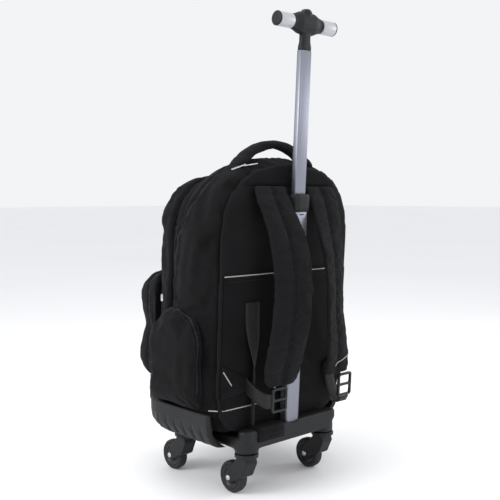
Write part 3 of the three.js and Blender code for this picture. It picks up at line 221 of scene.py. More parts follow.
def stuffed(piece, free, cap, slack=0.0, pressure=4.0, frames=20):
    """Blows the piece up as cloth: free is 0 where a seam holds it and 1 elsewhere, cap the most it moves."""
    start = points_of(piece)
    held = piece.vertex_groups.new(name="held")
    for index in np.nonzero(free < 0.5)[0]:
        held.add([int(index)], 1.0, "REPLACE")
    cloth = piece.modifiers.new("cloth", "CLOTH")
    cloth.settings.vertex_group_mass = "held"
    cloth.settings.quality = 4
    cloth.settings.mass = 0.3
    cloth.settings.tension_stiffness = cloth.settings.compression_stiffness = 12
    cloth.settings.bending_stiffness = 0.4
    cloth.settings.use_pressure = True
    cloth.settings.uniform_pressure_force = pressure
    cloth.settings.shrink_min = -slack
    cloth.settings.effector_weights.gravity = 0.0
    cloth.point_cache.frame_start = 1
    cloth.point_cache.frame_end = frames
    scene = bpy.context.scene
    for step in range(1, frames + 1):
        scene.frame_set(step)
    sight_of = bpy.context.evaluated_depsgraph_get()
    blown = piece.evaluated_get(sight_of).to_mesh()
    rows = np.empty(len(start) * 3)
    blown.vertices.foreach_get("co", rows)
    piece.evaluated_get(sight_of).to_mesh_clear()
    piece.modifiers.remove(cloth)
    piece.vertex_groups.clear()
    scene.frame_set(1)
    way = rows.reshape(-1, 3) - start
    length = np.linalg.norm(way, axis=1)
    limit = cap * free
    way *= np.minimum(1.0, limit / np.maximum(length, 1e-9))[:, None]
    move_points(piece, start + way)
    return piece


def nearest_on(line, rows):
    """For each row its distance to a line of points, and how far along the line that is."""
    line = np.asarray(line)
    step = np.linalg.norm(np.diff(line, axis=0), axis=1)
    along = np.concatenate([[0.0], np.cumsum(step)])
    count = max(2, int(along[-1] / 0.0015))
    even = np.linspace(0.0, along[-1], count)
    fine = np.stack([np.interp(even, along, line[:, k]) for k in range(3)], axis=1)
    tree = KDTree(count)
    for index, point in enumerate(fine):
        tree.insert(point, index)
    tree.balance()
    found = [tree.find(row) for row in rows]
    return np.array([f[2] for f in found]), even[np.array([f[1] for f in found])]


def sew_in(piece, line, depth, width, pitch=0.0, pucker=0.0, reach=2.6):
    """Draws the cloth in along a seam, and gathers it in small puckers that run out to either side."""
    rows, out = points_of(piece), points_of(piece, "normal")
    away, along = nearest_on(line, rows)
    push = -depth * np.exp(-((away / width) ** 2))
    if pitch:
        swing = np.sin(along * 2 * math.pi / pitch + 1.7 * np.sin(along * 2 * math.pi / (pitch * 3.7)))
        strength = 0.6 + 0.4 * np.sin(along * 2 * math.pi / (pitch * 6.1) + 0.8)
        push += pucker * swing * strength * np.exp(-((away / (width * reach)) ** 2))
    move_points(piece, rows + out * push[:, None])
    return piece


def fold(piece, line, width, depth):
    """One soft fold: a valley along a line with a ridge on each side, fading out towards both ends."""
    rows, out = points_of(piece), points_of(piece, "normal")
    away, along = nearest_on(line, rows)
    share = along / max(along.max(), 1e-9)
    fade = np.clip(np.minimum(share, 1 - share) * 4, 0, 1)
    across = away / width
    shape = -np.exp(-(across**2)) + 0.55 * np.exp(-((across - 1.7) ** 2) / 0.6)
    shape *= np.clip(3.2 - across, 0, 1)
    move_points(piece, rows + out * (depth * fade * shape)[:, None])
    return piece


def ring_on(piece, point, normal):
    """The longest closed line where a plane cuts the piece, as an ordered list of points."""
    bm = bmesh.new()
    bm.from_mesh(piece.data)
    cut = bmesh.ops.bisect_plane(
        bm, geom=bm.verts[:] + bm.edges[:] + bm.faces[:], plane_co=point, plane_no=normal, dist=1e-7
    )["geom_cut"]
    edges = {e for e in cut if isinstance(e, bmesh.types.BMEdge)}
    ways = {}
    for edge in edges:
        for vert in edge.verts:
            ways.setdefault(vert, []).append(edge)
    best = []
    while edges:
        edge = edges.pop()
        chain = [edge.verts[0], edge.verts[1]]
        while True:
            following = next((e for e in ways[chain[-1]] if e in edges), None)
            if following is None:
                break
            edges.discard(following)
            chain.append(following.other_vert(chain[-1]))
        if len(chain) > len(best):
            best = chain
    line = np.array([v.co for v in best])
    bm.free()
    return line


def evened(line, step, turns=0):
    """A line of points at an even step, its corners softened by some turns."""
    line = np.asarray(line, dtype=float)
    along = np.concatenate([[0.0], np.cumsum(np.linalg.norm(np.diff(line, axis=0), axis=1))])
    even = np.linspace(0.0, along[-1], max(3, int(round(along[-1] / step)) + 1))
    line = np.stack([np.interp(even, along, line[:, k]) for k in range(3)], axis=1)
    for _ in range(turns):
        line[1:-1] = (line[:-2] + 2 * line[1:-1] + line[2:]) / 4
    return line


def skin_of(piece):
    """The piece's skin, ready to be searched for its nearest point or cast on to."""
    bm = bmesh.new()
    bm.from_mesh(piece.data)
    skin = BVHTree.FromBMesh(bm)
    bm.free()
    return skin


def laid_on(piece, line, proud=0.0):
    """Lays a line of points on a piece's skin. Gives the points, raised by proud, and the skin's normals."""
    skin = skin_of(piece)
    found = [skin.find_nearest(Vector(point)) for point in line]
    outward = np.array([f[1] for f in found])
    return np.array([f[0] for f in found]) + outward * proud, outward


def tube(name, line, radius, finish, sides=8, closed=False, body="bag"):
    """A round cord along a line of points, closed at both ends or into a ring."""
    line = np.asarray(line)
    ahead = np.roll(line, -1, axis=0) - np.roll(line, 1, axis=0)
    if not closed:
        ahead[0], ahead[-1] = line[1] - line[0], line[-1] - line[-2]
    ahead /= np.linalg.norm(ahead, axis=1)[:, None]
    side = np.cross(ahead[0], (0.0, 0.0, 1.0) if abs(ahead[0][2]) < 0.9 else (1.0, 0.0, 0.0))
    bm = bmesh.new()
    rings = []
    for point, way in zip(line, ahead):
        side = side - way * np.dot(side, way)
        side /= np.linalg.norm(side)
        up = np.cross(way, side)
        ring = [
            bm.verts.new(
                point + radius * (
                    side * math.cos(k * 2 * math.pi / sides) + up * math.sin(k * 2 * math.pi / sides)
                )
            )
            for k in range(sides)
        ]
        rings.append(ring)
    if closed:
        first = min(range(sides), key=lambda k: (rings[0][k].co - rings[-1][0].co).length)
        rings.append([rings[0][(first + k) % sides] for k in range(sides)])
    for low, high in zip(rings, rings[1:]):
        for k in range(sides):
            bm.faces.new((low[k], low[(k + 1) % sides], high[(k + 1) % sides], high[k]))
    if not closed:
        bm.faces.new(rings[0][::-1])
        bm.faces.new(rings[-1])
    bmesh.ops.recalc_face_normals(bm, faces=bm.faces)
    return new_piece(name, bm, finish, body)


# Woven polyester cloth: matt black with a faint grey bloom at grazing angles. Its yarns lie 0.5 mm
# apart; the weave is drawn at 1.5 mm so that the render shows it, over slow wear and dust clouds.
def woven_finish(name, dark, light, yarn, relief):
    finish, tree, shader, place = new_finish(
        name, Roughness=0.82, IOR=1.5, Sheen_Weight=0.04, Sheen_Roughness=0.4
    )
    shader.inputs["Sheen Tint"].default_value = linear("96979b")
    shader.inputs["Specular IOR Level"].default_value = 0.13
    split = add_node(tree, "ShaderNodeSeparateXYZ", None, {"Vector": place})
    waves = {}
    for axis in "XYZ":
        turn = add_node(
            tree, "ShaderNodeMath", {"operation": "MULTIPLY"}, {0: split.outputs[axis], 1: 2 * math.pi / yarn}
        )
        waves[axis] = add_node(tree, "ShaderNodeMath", {"operation": "SINE"}, {0: turn.outputs[0]}).outputs[0]
    crossings = [
        add_node(tree, "ShaderNodeMath", {"operation": "MULTIPLY"}, {0: waves[a], 1: waves[b]}).outputs[0]
        for a, b in ("XZ", "YZ", "XY")
    ]
    weave = add_node(tree, "ShaderNodeMath", {"operation": "ADD"}, {0: crossings[0], 1: crossings[1]})
    weave = add_node(tree, "ShaderNodeMath", {"operation": "ADD"}, {0: weave.outputs[0], 1: crossings[2]})
    fuzz = add_node(tree, "ShaderNodeTexNoise", None, {"Vector": place, "Scale": 420.0, "Detail": 3.0})
    height = add_node(
        tree,
        "ShaderNodeMath",
        {"operation": "MULTIPLY_ADD"},
        {0: fuzz.outputs["Fac"], 1: 1.4, 2: weave.outputs[0]},
    )
    bump = add_node(
        tree, "ShaderNodeBump", None, {"Height": height.outputs[0], "Strength": 0.55, "Distance": relief}
    )
    tree.links.new(bump.outputs["Normal"], shader.inputs["Normal"])
    dust = add_node(
        tree, "ShaderNodeTexNoise", None, {"Vector": place, "Scale": 16.0, "Detail": 5.0, "Roughness": 0.6}
    )
    speck = add_node(
        tree,
        "ShaderNodeMath",
        {"operation": "MULTIPLY_ADD", "use_clamp": True},
        {0: weave.outputs[0], 1: 0.12, 2: dust.outputs["Fac"]},
    )
    tone = add_node(tree, "ShaderNodeMix", {"data_type": "RGBA"}, {"Factor": speck.outputs[0]})
    tone.inputs["A"].default_value = linear(dark)
    tone.inputs["B"].default_value = linear(light)
    tree.links.new(tone.outputs["Result"], shader.inputs["Base Color"])
    return finish


cloth_finish = woven_finish("woven_polyester_cloth", "060607", "151517", 0.0015, 0.0003)


def hull_of(bm):
    """Wraps the corners of a mesh in their convex hull and drops what lies inside."""
    kept = bmesh.ops.convex_hull(bm, input=bm.verts)
    spare = {g for g in kept["geom_interior"] + kept["geom_unused"] if isinstance(g, bmesh.types.BMVert)}
    bmesh.ops.delete(bm, geom=list(spare), context="VERTS")


def bag_half(name, node, seam_at_front):
    """One bowl of the bag from its CAD form, held flat where it meets the other and blown up elsewhere."""
    bm = copy_of(node)
    hull_of(bm)
    bmesh.ops.dissolve_limit(bm, angle_limit=0.002, verts=bm.verts, edges=bm.edges)
    bmesh.ops.recalc_face_normals(bm, faces=bm.faces)
    piece = new_piece(name, bm, cloth_finish)
    applied(piece, "REMESH", mode="VOXEL", voxel_size=BAG_VOXEL)
    depth = points_of(piece) @ np.array(LEAN)
    seam = depth.max() if seam_at_front else depth.min()
    clear = np.clip((np.abs(depth - seam) - BAG_VOXEL) / 0.02, 0, 1)
    relax(piece, 8, 0.5, clear)
    rows, out = points_of(piece), points_of(piece, "normal")
    move_points(piece, rows - out * (BAG_PULL_IN * clear)[:, None])
    stuffed(piece, clear, BAG_SWELL + BAG_PULL_IN, slack=0.03)
    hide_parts(node)
    return piece


rear_half = bag_half("rear_compartment_cloth", "main_compartment", True)
front_half = bag_half("front_compartment_cloth", "front_compartment", False)

# Seams of the bag: the rear half's cloth is gathered along the seam that joins it to the back
# panel, and both halves along the front compartment's zip; loose cloth folds on the shoulders.
BACK_SEAM_IN = 0.006
SEAM_CORD = 0.0017


def slice_ring(piece, depth, step=0.004, turns=6):
    """The piece's outline at a depth along the bag's lean, from its lower middle and round."""
    point = Vector(LEAN) * depth
    line = ring_on(piece, point, LEAN)
    first = int(np.argmin(line[:, 2] * 10 + np.abs(line[:, 0])))
    body = line[:-1] if np.allclose(line[0], line[-1]) else line
    body = np.roll(body, -first, axis=0)
    return evened(np.vstack([body, body[:1]]), step, turns)


rear_depth = points_of(rear_half) @ np.array(LEAN)
front_depth = points_of(front_half) @ np.array(LEAN)
back_seam = slice_ring(rear_half, rear_depth.min() + BACK_SEAM_IN)
zip_seam = slice_ring(rear_half, rear_depth.max() - 0.003)
face_seam = slice_ring(front_half, front_depth.max() - 0.024)
applied(rear_half, "SUBSURF", levels=1, render_levels=1)
applied(front_half, "SUBSURF", levels=1, render_levels=1)
for piece, ring, depth in (
    (rear_half, back_seam, 0.0012),
    (rear_half, zip_seam, 0.0018),
    (front_half, zip_seam, 0.0018),
    (front_half, face_seam, 0.0022),
):
    sew_in(piece, ring, depth, 0.0042, pitch=0.019, pucker=0.0009)

# The main compartment's own zip climbs from the side pockets over the shoulders to the handle
MAIN_ZIP = (
    (-0.164, 0.036, 0.330), (-0.164, 0.036, 0.365), (-0.164, 0.026, 0.400), (-0.164, 0.010, 0.436),
    (-0.163, -0.006, 0.466), (-0.159, -0.022, 0.494), (-0.150, -0.034, 0.520), (-0.135, -0.040, 0.541),
    (-0.112, -0.046, 0.558), (-0.075, -0.050, 0.572), (-0.035, -0.052, 0.580), (0.0, -0.053, 0.583),
)
main_arch = np.array(MAIN_ZIP + tuple((-x, y, z) for x, y, z in MAIN_ZIP[-2::-1]))
main_arch = laid_on(rear_half, evened(main_arch, 0.004, 12))[0]
sew_in(rear_half, main_arch, 0.0034, 0.0044, pitch=0.021, pucker=0.0010)
for offset, raise_by in ((0.0085, -0.0016), (-0.0085, -0.0010)):
    ahead = np.gradient(main_arch, axis=0)
    skin_out = laid_on(rear_half, main_arch)[1]
    aside = np.cross(ahead, skin_out)
    aside /= np.maximum(np.linalg.norm(aside, axis=1), 1e-9)[:, None]
    sew_in(rear_half, main_arch + aside * offset, raise_by, 0.0034)

# Folds seen on the rear half's sides and shoulders, as points on the left side. Each is mirrored.
SIDE_FOLDS = (
    # width, depth, points
    (
        0.011, 0.0034,
        ((-0.112, -0.006, 0.550), (-0.134, -0.004, 0.530), (-0.150, 0.000, 0.505), (-0.158, 0.006, 0.478)),
    ),
    (
        0.010, 0.0030,
        ((-0.133, -0.050, 0.545), (-0.150, -0.054, 0.520), (-0.160, -0.058, 0.490), (-0.164, -0.060, 0.462)),
    ),
    (
        0.012, 0.0026,
        ((-0.160, -0.020, 0.470), (-0.165, -0.004, 0.430), (-0.165, 0.006, 0.395), (-0.165, 0.008, 0.360)),
    ),
    (0.010, 0.0022, ((-0.165, -0.070, 0.440), (-0.166, -0.055, 0.405), (-0.166, -0.048, 0.370))),
    (
        0.012, 0.0024,
        ((-0.165, -0.050, 0.345), (-0.166, -0.020, 0.339), (-0.165, 0.015, 0.343), (-0.163, 0.036, 0.346)),
    ),
    (0.009, 0.0020, ((-0.164, -0.078, 0.280), (-0.165, -0.072, 0.235), (-0.164, -0.076, 0.190))),
)
for side in (1, -1):
    for width, depth, points in SIDE_FOLDS:
        line = evened([(x * side, y, z) for x, y, z in points], 0.006, 8)
        fold(rear_half, line, width, depth)
for side in (1, -1):
    for width, depth, points in (
        (
            0.011, 0.0032,
            ((-0.118, 0.030, 0.538), (-0.134, 0.036, 0.515), (-0.146, 0.042, 0.485), (-0.153, 0.044, 0.450)),
        ),
        (0.011, 0.0026, ((-0.161, 0.050, 0.440), (-0.162, 0.046, 0.400), (-0.162, 0.044, 0.365))),
    ):
        fold(front_half, evened([(x * side, y, z) for x, y, z in points], 0.006, 8), width, depth)

# Seam cords: the same black cloth over a cord, stitched into the back seam and the front face's seam
for name, piece, ring in (
    ("back_seam_cord", rear_half, back_seam), ("face_seam_cord", front_half, face_seam)
):
    line, outward = laid_on(piece, ring, SEAM_CORD * 0.55)
    cord_piece = tube(name, evened(line, 0.004, 2)[:-1], SEAM_CORD, cloth_finish, sides=8, closed=True)

# Zips: a coil of nylon teeth down each, with a row of stitches on either side. One runs round the
# crease between the halves, and the main one over the rear half's shoulders.
TOOTH_PITCH = 0.0022
TOOTH_LENGTH = 0.0046
TAPE_HALF = 0.0085
STITCH_PITCH = 0.0042
STRAP_STITCH_PITCH = 0.0040


def copies_tree():
    """Geometry Nodes: copies of a small shape at an even pitch along a line, standing on the skin."""
    tree = bpy.data.node_groups.new("copies_along_a_line", "GeometryNodeTree")
    tree.interface.new_socket("Line", in_out="INPUT", socket_type="NodeSocketGeometry")
    sockets = {
        name: tree.interface.new_socket(name, in_out="INPUT", socket_type=kind).identifier
        for name, kind in (
            ("Shape", "NodeSocketObject"),
            ("Pitch", "NodeSocketFloat"),
            ("Finish", "NodeSocketMaterial"),
        )
    }
    tree.interface.new_socket("Copies", in_out="OUTPUT", socket_type="NodeSocketGeometry")
    given = add_node(tree, "NodeGroupInput").outputs
    curve = add_node(tree, "GeometryNodeMeshToCurve", None, {"Mesh": given["Line"]})
    even = add_node(
        tree, "GeometryNodeResampleCurve", {"mode": "LENGTH"}, {
            "Curve": curve.outputs["Curve"], "Length": given["Pitch"]
        }
    )
    shape = add_node(tree, "GeometryNodeObjectInfo", None, {"Object": given["Shape"], "As Instance": True})
    outward = add_node(
        tree, "GeometryNodeInputNamedAttribute", {"data_type": "FLOAT_VECTOR"}, {"Name": "outward"}
    )
    tangent = add_node(tree, "GeometryNodeInputTangent")
    stand = add_node(
        tree, "FunctionNodeAlignRotationToVector", {"axis": "Z"}, {"Vector": outward.outputs["Attribute"]}
    )
    turn = add_node(
        tree,
        "FunctionNodeAlignRotationToVector",
        {"axis": "X", "pivot_axis": "Z"},
        {"Rotation": stand.outputs["Rotation"], "Vector": tangent.outputs["Tangent"]},
    )
    copies = add_node(
        tree,
        "GeometryNodeInstanceOnPoints",
        None,
        {
            "Points": even.outputs["Curve"],
            "Instance": shape.outputs["Geometry"],
            "Rotation": turn.outputs["Rotation"],
        },
    )
    real = add_node(tree, "GeometryNodeRealizeInstances", None, {"Geometry": copies.outputs["Instances"]})
    coated = add_node(
        tree, "GeometryNodeSetMaterial", None, {
            "Geometry": real.outputs["Geometry"], "Material": given["Finish"]
        }
    )
    add_node(tree, "NodeGroupOutput", None, {"Copies": coated.outputs["Geometry"]})
    return tree, sockets


copying, copy_sockets = copies_tree()


def row_of(name, lines, shape, pitch, finish, body="bag"):
    """Rows of copies of a small shape along lines on a skin, each given as points and their normals."""
    rows, outs, edges = [], [], []
    for line, outward in lines:
        edges += [(len(rows) + k, len(rows) + k + 1) for k in range(len(line) - 1)]
        rows += [tuple(p) for p in line]
        outs += [tuple(n) for n in outward]
    mesh = bpy.data.meshes.new(name + "_lines")
    mesh.from_pydata(rows, edges, [])
    mesh.attributes.new("outward", "FLOAT_VECTOR", "POINT").data.foreach_set(
        "vector", np.array(outs, dtype=np.float32).ravel()
    )
    host = bpy.data.objects.new(name + "_lines", mesh)
    bpy.context.scene.collection.objects.link(host)
    step = host.modifiers.new("copies", "NODES")
    step.node_group = copying
    step[copy_sockets["Shape"]] = shape
    step[copy_sockets["Pitch"]] = pitch
    step[copy_sockets["Finish"]] = finish
    made = bpy.data.meshes.new_from_object(host.evaluated_get(bpy.context.evaluated_depsgraph_get()))
    host.modifiers.remove(step)
    bpy.data.objects.remove(host)
    made.name = name
    piece = bpy.data.objects.new(name, made)
    bpy.context.scene.collection.objects.link(piece)
    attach(piece, body)
    return piece


def small_shape(name, half, across, high, sunk=0.25, around=6, rows=4):
    """A rounded grain of the given half length, half width and height, such as a stitch or a tooth."""
    bm = bmesh.new()
    bmesh.ops.create_uvsphere(bm, u_segments=around, v_segments=rows, radius=1.0)
    bmesh.ops.rotate(bm, verts=bm.verts, matrix=Matrix.Rotation(math.pi / 2, 3, "Y"))
    for vert in bm.verts:
        x, y, z = vert.co
        square = 1.0 if abs(x) > 0.95 else 1.12
        vert.co = (x * half, y * across * square, (z - sunk) * high)
    mesh = bpy.data.meshes.new(name)
    bm.to_mesh(mesh)
    bm.free()
    mesh.shade_smooth()
    shape = bpy.data.objects.new(name, mesh)
    bpy.context.scene.collection.objects.link(shape)
    return shape


# Nylon: zip teeth and sewing thread, dyed black, a little glossier than the cloth beside them
nylon_finish, tree, shader, place = new_finish("dyed_nylon_thread", Roughness=0.45, IOR=1.53)
shader.inputs["Specular IOR Level"].default_value = 0.35
grain = add_node(tree, "ShaderNodeTexNoise", None, {"Vector": place, "Scale": 900.0, "Detail": 2.0})
tone = add_node(tree, "ShaderNodeMix", {"data_type": "RGBA"}, {"Factor": grain.outputs["Fac"]})
tone.inputs["A"].default_value = linear("111216")
tone.inputs["B"].default_value = linear("2a2b30")
tree.links.new(tone.outputs["Result"], shader.inputs["Base Color"])
bump = add_node(
    tree, "ShaderNodeBump", None, {"Height": grain.outputs["Fac"], "Strength": 0.3, "Distance": 0.0002}
)
tree.links.new(bump.outputs["Normal"], shader.inputs["Normal"])

tooth = small_shape("zip_tooth", 0.0008, TOOTH_LENGTH / 2, 0.0012)
stitch = small_shape("stitch", 0.0014, 0.0003, 0.00035)

above_base = zip_seam[zip_seam[:, 2] > 0.16]
line, outward = laid_on(rear_half, evened(above_base, 0.004, 4), 0.0006)
row_of("front_zip_teeth", [(line, outward)], tooth, TOOTH_PITCH, nylon_finish)
arch_line, arch_out = laid_on(rear_half, main_arch, 0.0004)
row_of("main_zip_teeth", [(arch_line, arch_out)], tooth, TOOTH_PITCH, nylon_finish)


def beside(line, outward, offset, piece, proud=0.0002):
    """A line moved sideways on the skin, for the stitches that run next to a seam."""
    line = np.asarray(line)
    ahead = np.gradient(line, axis=0)
    side = np.cross(ahead, outward)
    side /= np.maximum(np.linalg.norm(side, axis=1), 1e-9)[:, None]
    return laid_on(piece, line + side * offset, proud)


rows = [beside(line, outward, -TAPE_HALF, rear_half), beside(line, outward, TAPE_HALF, front_half)]
rows += [beside(arch_line, arch_out, offset, rear_half) for offset in (-0.0095, 0.0095)]
back_line, back_out = laid_on(rear_half, back_seam[back_seam[:, 2] > 0.13])
rows += [beside(back_line, back_out, 0.006, rear_half)]
face_line, face_out = laid_on(front_half, face_seam[face_seam[:, 2] > 0.13])
rows += [beside(face_line, face_out, offset, front_half) for offset in (-0.0055, 0.0055)]
row_of("bag_seam_stitches", rows, stitch, STITCH_PITCH, nylon_finish)

# The back: a foam panel bound into the back seam, a yoke of doubled cloth over the strap ends, and
# a flat slip pocket whose mouth is bound with light reflective piping.
PANEL_VOXEL = 0.004
SHEET_THICKNESS = 0.0012
PIPING_RADIUS = 0.00105


def width_at(node):
    """Half the width of a flat CAD layer at a height, from its own outline."""
    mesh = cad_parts[node].data
    rows = np.array([v.co[:] for v in mesh.vertices])
    ends = np.array([e.vertices[:] for e in mesh.edges])
    a, b = rows[ends[:, 0]], rows[ends[:, 1]]

    def at(z):
        z = min(max(z, rows[:, 2].min() + 1e-5), rows[:, 2].max() - 1e-5)
        crossing = (np.minimum(a[:, 2], b[:, 2]) <= z) & (np.maximum(a[:, 2], b[:, 2]) >= z)
        low, high = a[crossing], b[crossing]
        share = (z - low[:, 2]) / np.where(np.abs(high[:, 2] - low[:, 2]) < 1e-9, 1.0, high[:, 2] - low[:, 2])
        return np.abs(low[:, 0] + (high[:, 0] - low[:, 0]) * np.clip(share, 0, 1)).max()

    return at


def back_sheet(name, node, relief, step=0.005, tuck=0.0008):
    """A flat layer of cloth in the CAD layer's place: a grid that relief(x, z) raises off the back."""
    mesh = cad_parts[node].data
    rows = np.array([v.co[:] for v in mesh.vertices])
    face = (rows @ np.array(LEAN)).min()
    low, high = rows[:, 2].min() + 0.0005, rows[:, 2].max() - 0.0005
    half_at = width_at(node)
    levels = np.linspace(low, high, int((high - low) / step) + 1)
    columns = int(2 * half_at((low + high) / 2) / step)
    bm = bmesh.new()
    grid = []
    for z in levels:
        half = half_at(z) - tuck
        row = []
        for k in range(columns + 1):
            x = half * (2 * k / columns - 1)
            depth = face + SHEET_THICKNESS / 2 - relief(x, z)
            row.append(bm.verts.new((x, (depth - z * LEAN.z) / LEAN.y, z)))
        grid.append(row)
    for lower, upper in zip(grid, grid[1:]):
        for k in range(columns):
            bm.faces.new((lower[k], lower[k + 1], upper[k + 1], upper[k]))
    edge_rows = {"mouth": [tuple(v.co) for v in grid[-1]], "foot": [tuple(v.co) for v in grid[0]]}
    piece = new_piece(name, bm, cloth_finish)
    applied(piece, "SOLIDIFY", thickness=SHEET_THICKNESS, offset=0.0)
    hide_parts(node)
    size = (2 * half_at((low + high) / 2), high - low)
    return piece, edge_rows, size


padded_finish = woven_finish("padded_polyester_cloth", "09090a", "1c1c1e", 0.0017, 0.00035)
panel = new_piece("back_panel_pad", copy_of("back_panel"), padded_finish)
applied(panel, "REMESH", mode="VOXEL", voxel_size=PANEL_VOXEL)
relax(panel, 3)
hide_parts("back_panel")


def pocket_relief(x, z):
    """How far the slip pocket stands off the panel: it gapes at the mouth and drags to its corners."""
    clear = np.clip((x + 0.055) / 0.02, 0, 1) if z < 0.345 else 1.0
    clear *= np.clip((0.085 - x) / 0.02, 0, 1) if z < 0.25 else 1.0
    mouth = 0.0022 * math.exp(-(((z - 0.384) / 0.045) ** 2)) * max(0.0, 1 - (x / 0.14) ** 2)
    drag = 0.0007 * math.sin(
        (x * 0.8 + z * 0.6) * 190 + 2.2 * math.sin(z * 33)
    ) * math.exp(-((x / 0.11) ** 2))
    return float(-0.0002 + clear * (mouth + drag))


pocket, pocket_rows, pocket_size = back_sheet("back_slip_pocket", "back_pocket", pocket_relief)
yoke, yoke_rows, yoke_size = back_sheet("back_yoke_cloth", "back_yoke", lambda x, z: 0.0)

# Reflective piping: silver-grey glass-bead tape on a thin cord, bright beside the black cloth. The same
# finish colours the painted highlight beside the pole's foot.
piping_and_highlight_finish, tree, shader, place = new_finish("reflective_piping_tape", Roughness=0.5, IOR=1.5)
bead = add_node(tree, "ShaderNodeTexVoronoi", None, {"Vector": place, "Scale": 1600.0})
tone = add_node(tree, "ShaderNodeMix", {"data_type": "RGBA"}, {"Factor": bead.outputs["Distance"]})
tone.inputs["A"].default_value = linear("b4b5b2")
tone.inputs["B"].default_value = linear("8d8e8c")
tree.links.new(tone.outputs["Result"], shader.inputs["Base Color"])
bump = add_node(
    tree, "ShaderNodeBump", None, {"Height": bead.outputs["Distance"], "Strength": 0.4, "Distance": 0.0002}
)
tree.links.new(bump.outputs["Normal"], shader.inputs["Normal"])

mouth = np.array(pocket_rows["mouth"])
mouth_piping = tube(
    "slip_pocket_piping", mouth + np.array([0, -0.0004, 0.0004]), PIPING_RADIUS, piping_and_highlight_finish
)
hem = laid_on(
    pocket, evened([(-0.1500, -0.094, 0.1535), (-0.09, -0.094, 0.1528), (-0.024, -0.094, 0.1520)], 0.004)
)
corner = laid_on(
    rear_half, evened([(-0.164, -0.070, 0.1545), (-0.163, -0.082, 0.1542), (-0.158, -0.095, 0.154)], 0.003)
)
hem_line = evened(np.vstack([corner[0] + corner[1] * 0.0006, hem[0] + hem[1] * 0.0006]), 0.004, 6)
hem_piping = tube("lower_back_piping", hem_line, PIPING_RADIUS, piping_and_highlight_finish)

stitch_rows = []
for offset in (0.003, 0.009):
    lower = mouth - np.array([0, 0, offset])
    stitch_rows.append(laid_on(pocket, lower[2:-2], 0.0001))
for offset in (0.004, 0.010):
    upper = np.array(yoke_rows["foot"]) + np.array([0, 0, offset])
    stitch_rows.append(laid_on(yoke, upper[2:-2], 0.0001))
row_of("back_stitches", stitch_rows, stitch, STITCH_PITCH, nylon_finish)

# Side pockets: two arched bellows pockets of the bag's cloth, each with a piped outer edge, a zip
# that follows the arch, and loose cloth that swells between them.
POCKET_VOXEL = 0.0035
POCKET_SWELL = 0.004


def arch_of(piece, plane_x, foot):
    """The pocket's outline at a distance from the bag, from its rear foot over the arch to its front foot."""
    line = ring_on(piece, Vector((plane_x, 0, 0)), Vector((1, 0, 0)))
    body = line[:-1] if np.allclose(line[0], line[-1]) else line
    body = np.roll(body, -int(np.argmin(body[:, 2])), axis=0)
    return evened(body[body[:, 2] > foot], 0.004, 6)


for side, sign in (("left", -1), ("right", 1)):
    node = "side_pocket_" + side
    bm = copy_of(node)
    hull_of(bm)
    bmesh.ops.recalc_face_normals(bm, faces=bm.faces)
    side_pocket = new_piece(node + "_cloth", bm, cloth_finish)
    applied(side_pocket, "REMESH", mode="VOXEL", voxel_size=POCKET_VOXEL)
    rows = points_of(side_pocket)
    inner, outer = np.abs(rows[:, 0]).min(), np.abs(rows[:, 0]).max()
    free = np.clip((np.abs(rows[:, 0]) - inner - 0.005) / 0.008, 0, 1)
    relax(side_pocket, 10, 0.5, free)
    rows, out = points_of(side_pocket), points_of(side_pocket, "normal")
    move_points(side_pocket, rows - out * (0.0015 * free)[:, None])
    stuffed(side_pocket, free, POCKET_SWELL, slack=0.03)
    rim = arch_of(side_pocket, sign * (inner + 0.006), 0.185)
    zip_arch = arch_of(side_pocket, sign * (inner + 0.62 * (outer - inner)), 0.185)
    applied(side_pocket, "SUBSURF", levels=1, render_levels=1)
    sew_in(side_pocket, rim, 0.0012, 0.004, pitch=0.016, pucker=0.0007)
    sew_in(side_pocket, zip_arch, 0.0020, 0.0036, pitch=0.014, pucker=0.0008)
    for width, depth, points in (
        (0.010, 0.0022, ((0, 0.048, 0.205), (0, 0.022, 0.215), (0, -0.012, 0.213))),
        (0.009, 0.0018, ((0, -0.046, 0.260), (0, -0.038, 0.225), (0, -0.040, 0.190))),
        (0.012, 0.0020, ((0, 0.052, 0.270), (0, 0.030, 0.262), (0, 0.004, 0.268))),
    ):
        line = laid_on(
            side_pocket, evened([(sign * (outer + 0.01), y, z) for _, y, z in points], 0.006, 6)
        )[0]
        fold(side_pocket, line, width, depth)
    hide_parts(node)
    line, outward = laid_on(side_pocket, rim, 0.0006)
    cord_piece = tube(node + "_rim_cord", evened(line, 0.004, 2), 0.0016, cloth_finish)
    line, outward = laid_on(side_pocket, zip_arch, 0.0004)
    row_of(node + "_zip_teeth", [(line, outward)], tooth, TOOTH_PITCH, nylon_finish)
    rows = [beside(line, outward, offset, side_pocket) for offset in (-0.007, 0.007)]
    row_of(node + "_stitches", rows, stitch, STITCH_PITCH, nylon_finish)

# Front pocket: one large bellows pocket, waisted at mid height, zipped over its top
bm = copy_of("front_pocket")
form = BVHTree.FromBMesh(bm)
hull_of(bm)
bmesh.ops.recalc_face_normals(bm, faces=bm.faces)
front_pocket = new_piece("front_pocket_cloth", bm, cloth_finish)
applied(front_pocket, "REMESH", mode="VOXEL", voxel_size=0.0045)
rows, out = points_of(front_pocket), points_of(front_pocket, "normal")
depth = rows @ np.array(LEAN)
for index in np.nonzero(depth > depth.min() + 0.003)[0]:
    start = Vector(rows[index]) + Vector(out[index]) * 0.004
    hit = form.ray_cast(start, -Vector(out[index]), 0.020)[0]
    if hit is not None:
        rows[index] = hit
move_points(front_pocket, rows)
depth = points_of(front_pocket) @ np.array(LEAN)
free = np.clip((depth - depth.min() - 0.008) / 0.01, 0, 1)
relax(front_pocket, 10, 0.5, free)
rows, out = points_of(front_pocket), points_of(front_pocket, "normal")
move_points(front_pocket, rows - out * (0.002 * free)[:, None])
stuffed(front_pocket, free, 0.006, slack=0.03)
depth = points_of(front_pocket) @ np.array(LEAN)
pocket_rim = slice_ring(front_pocket, depth.min() + 0.3 * (depth.max() - depth.min()))
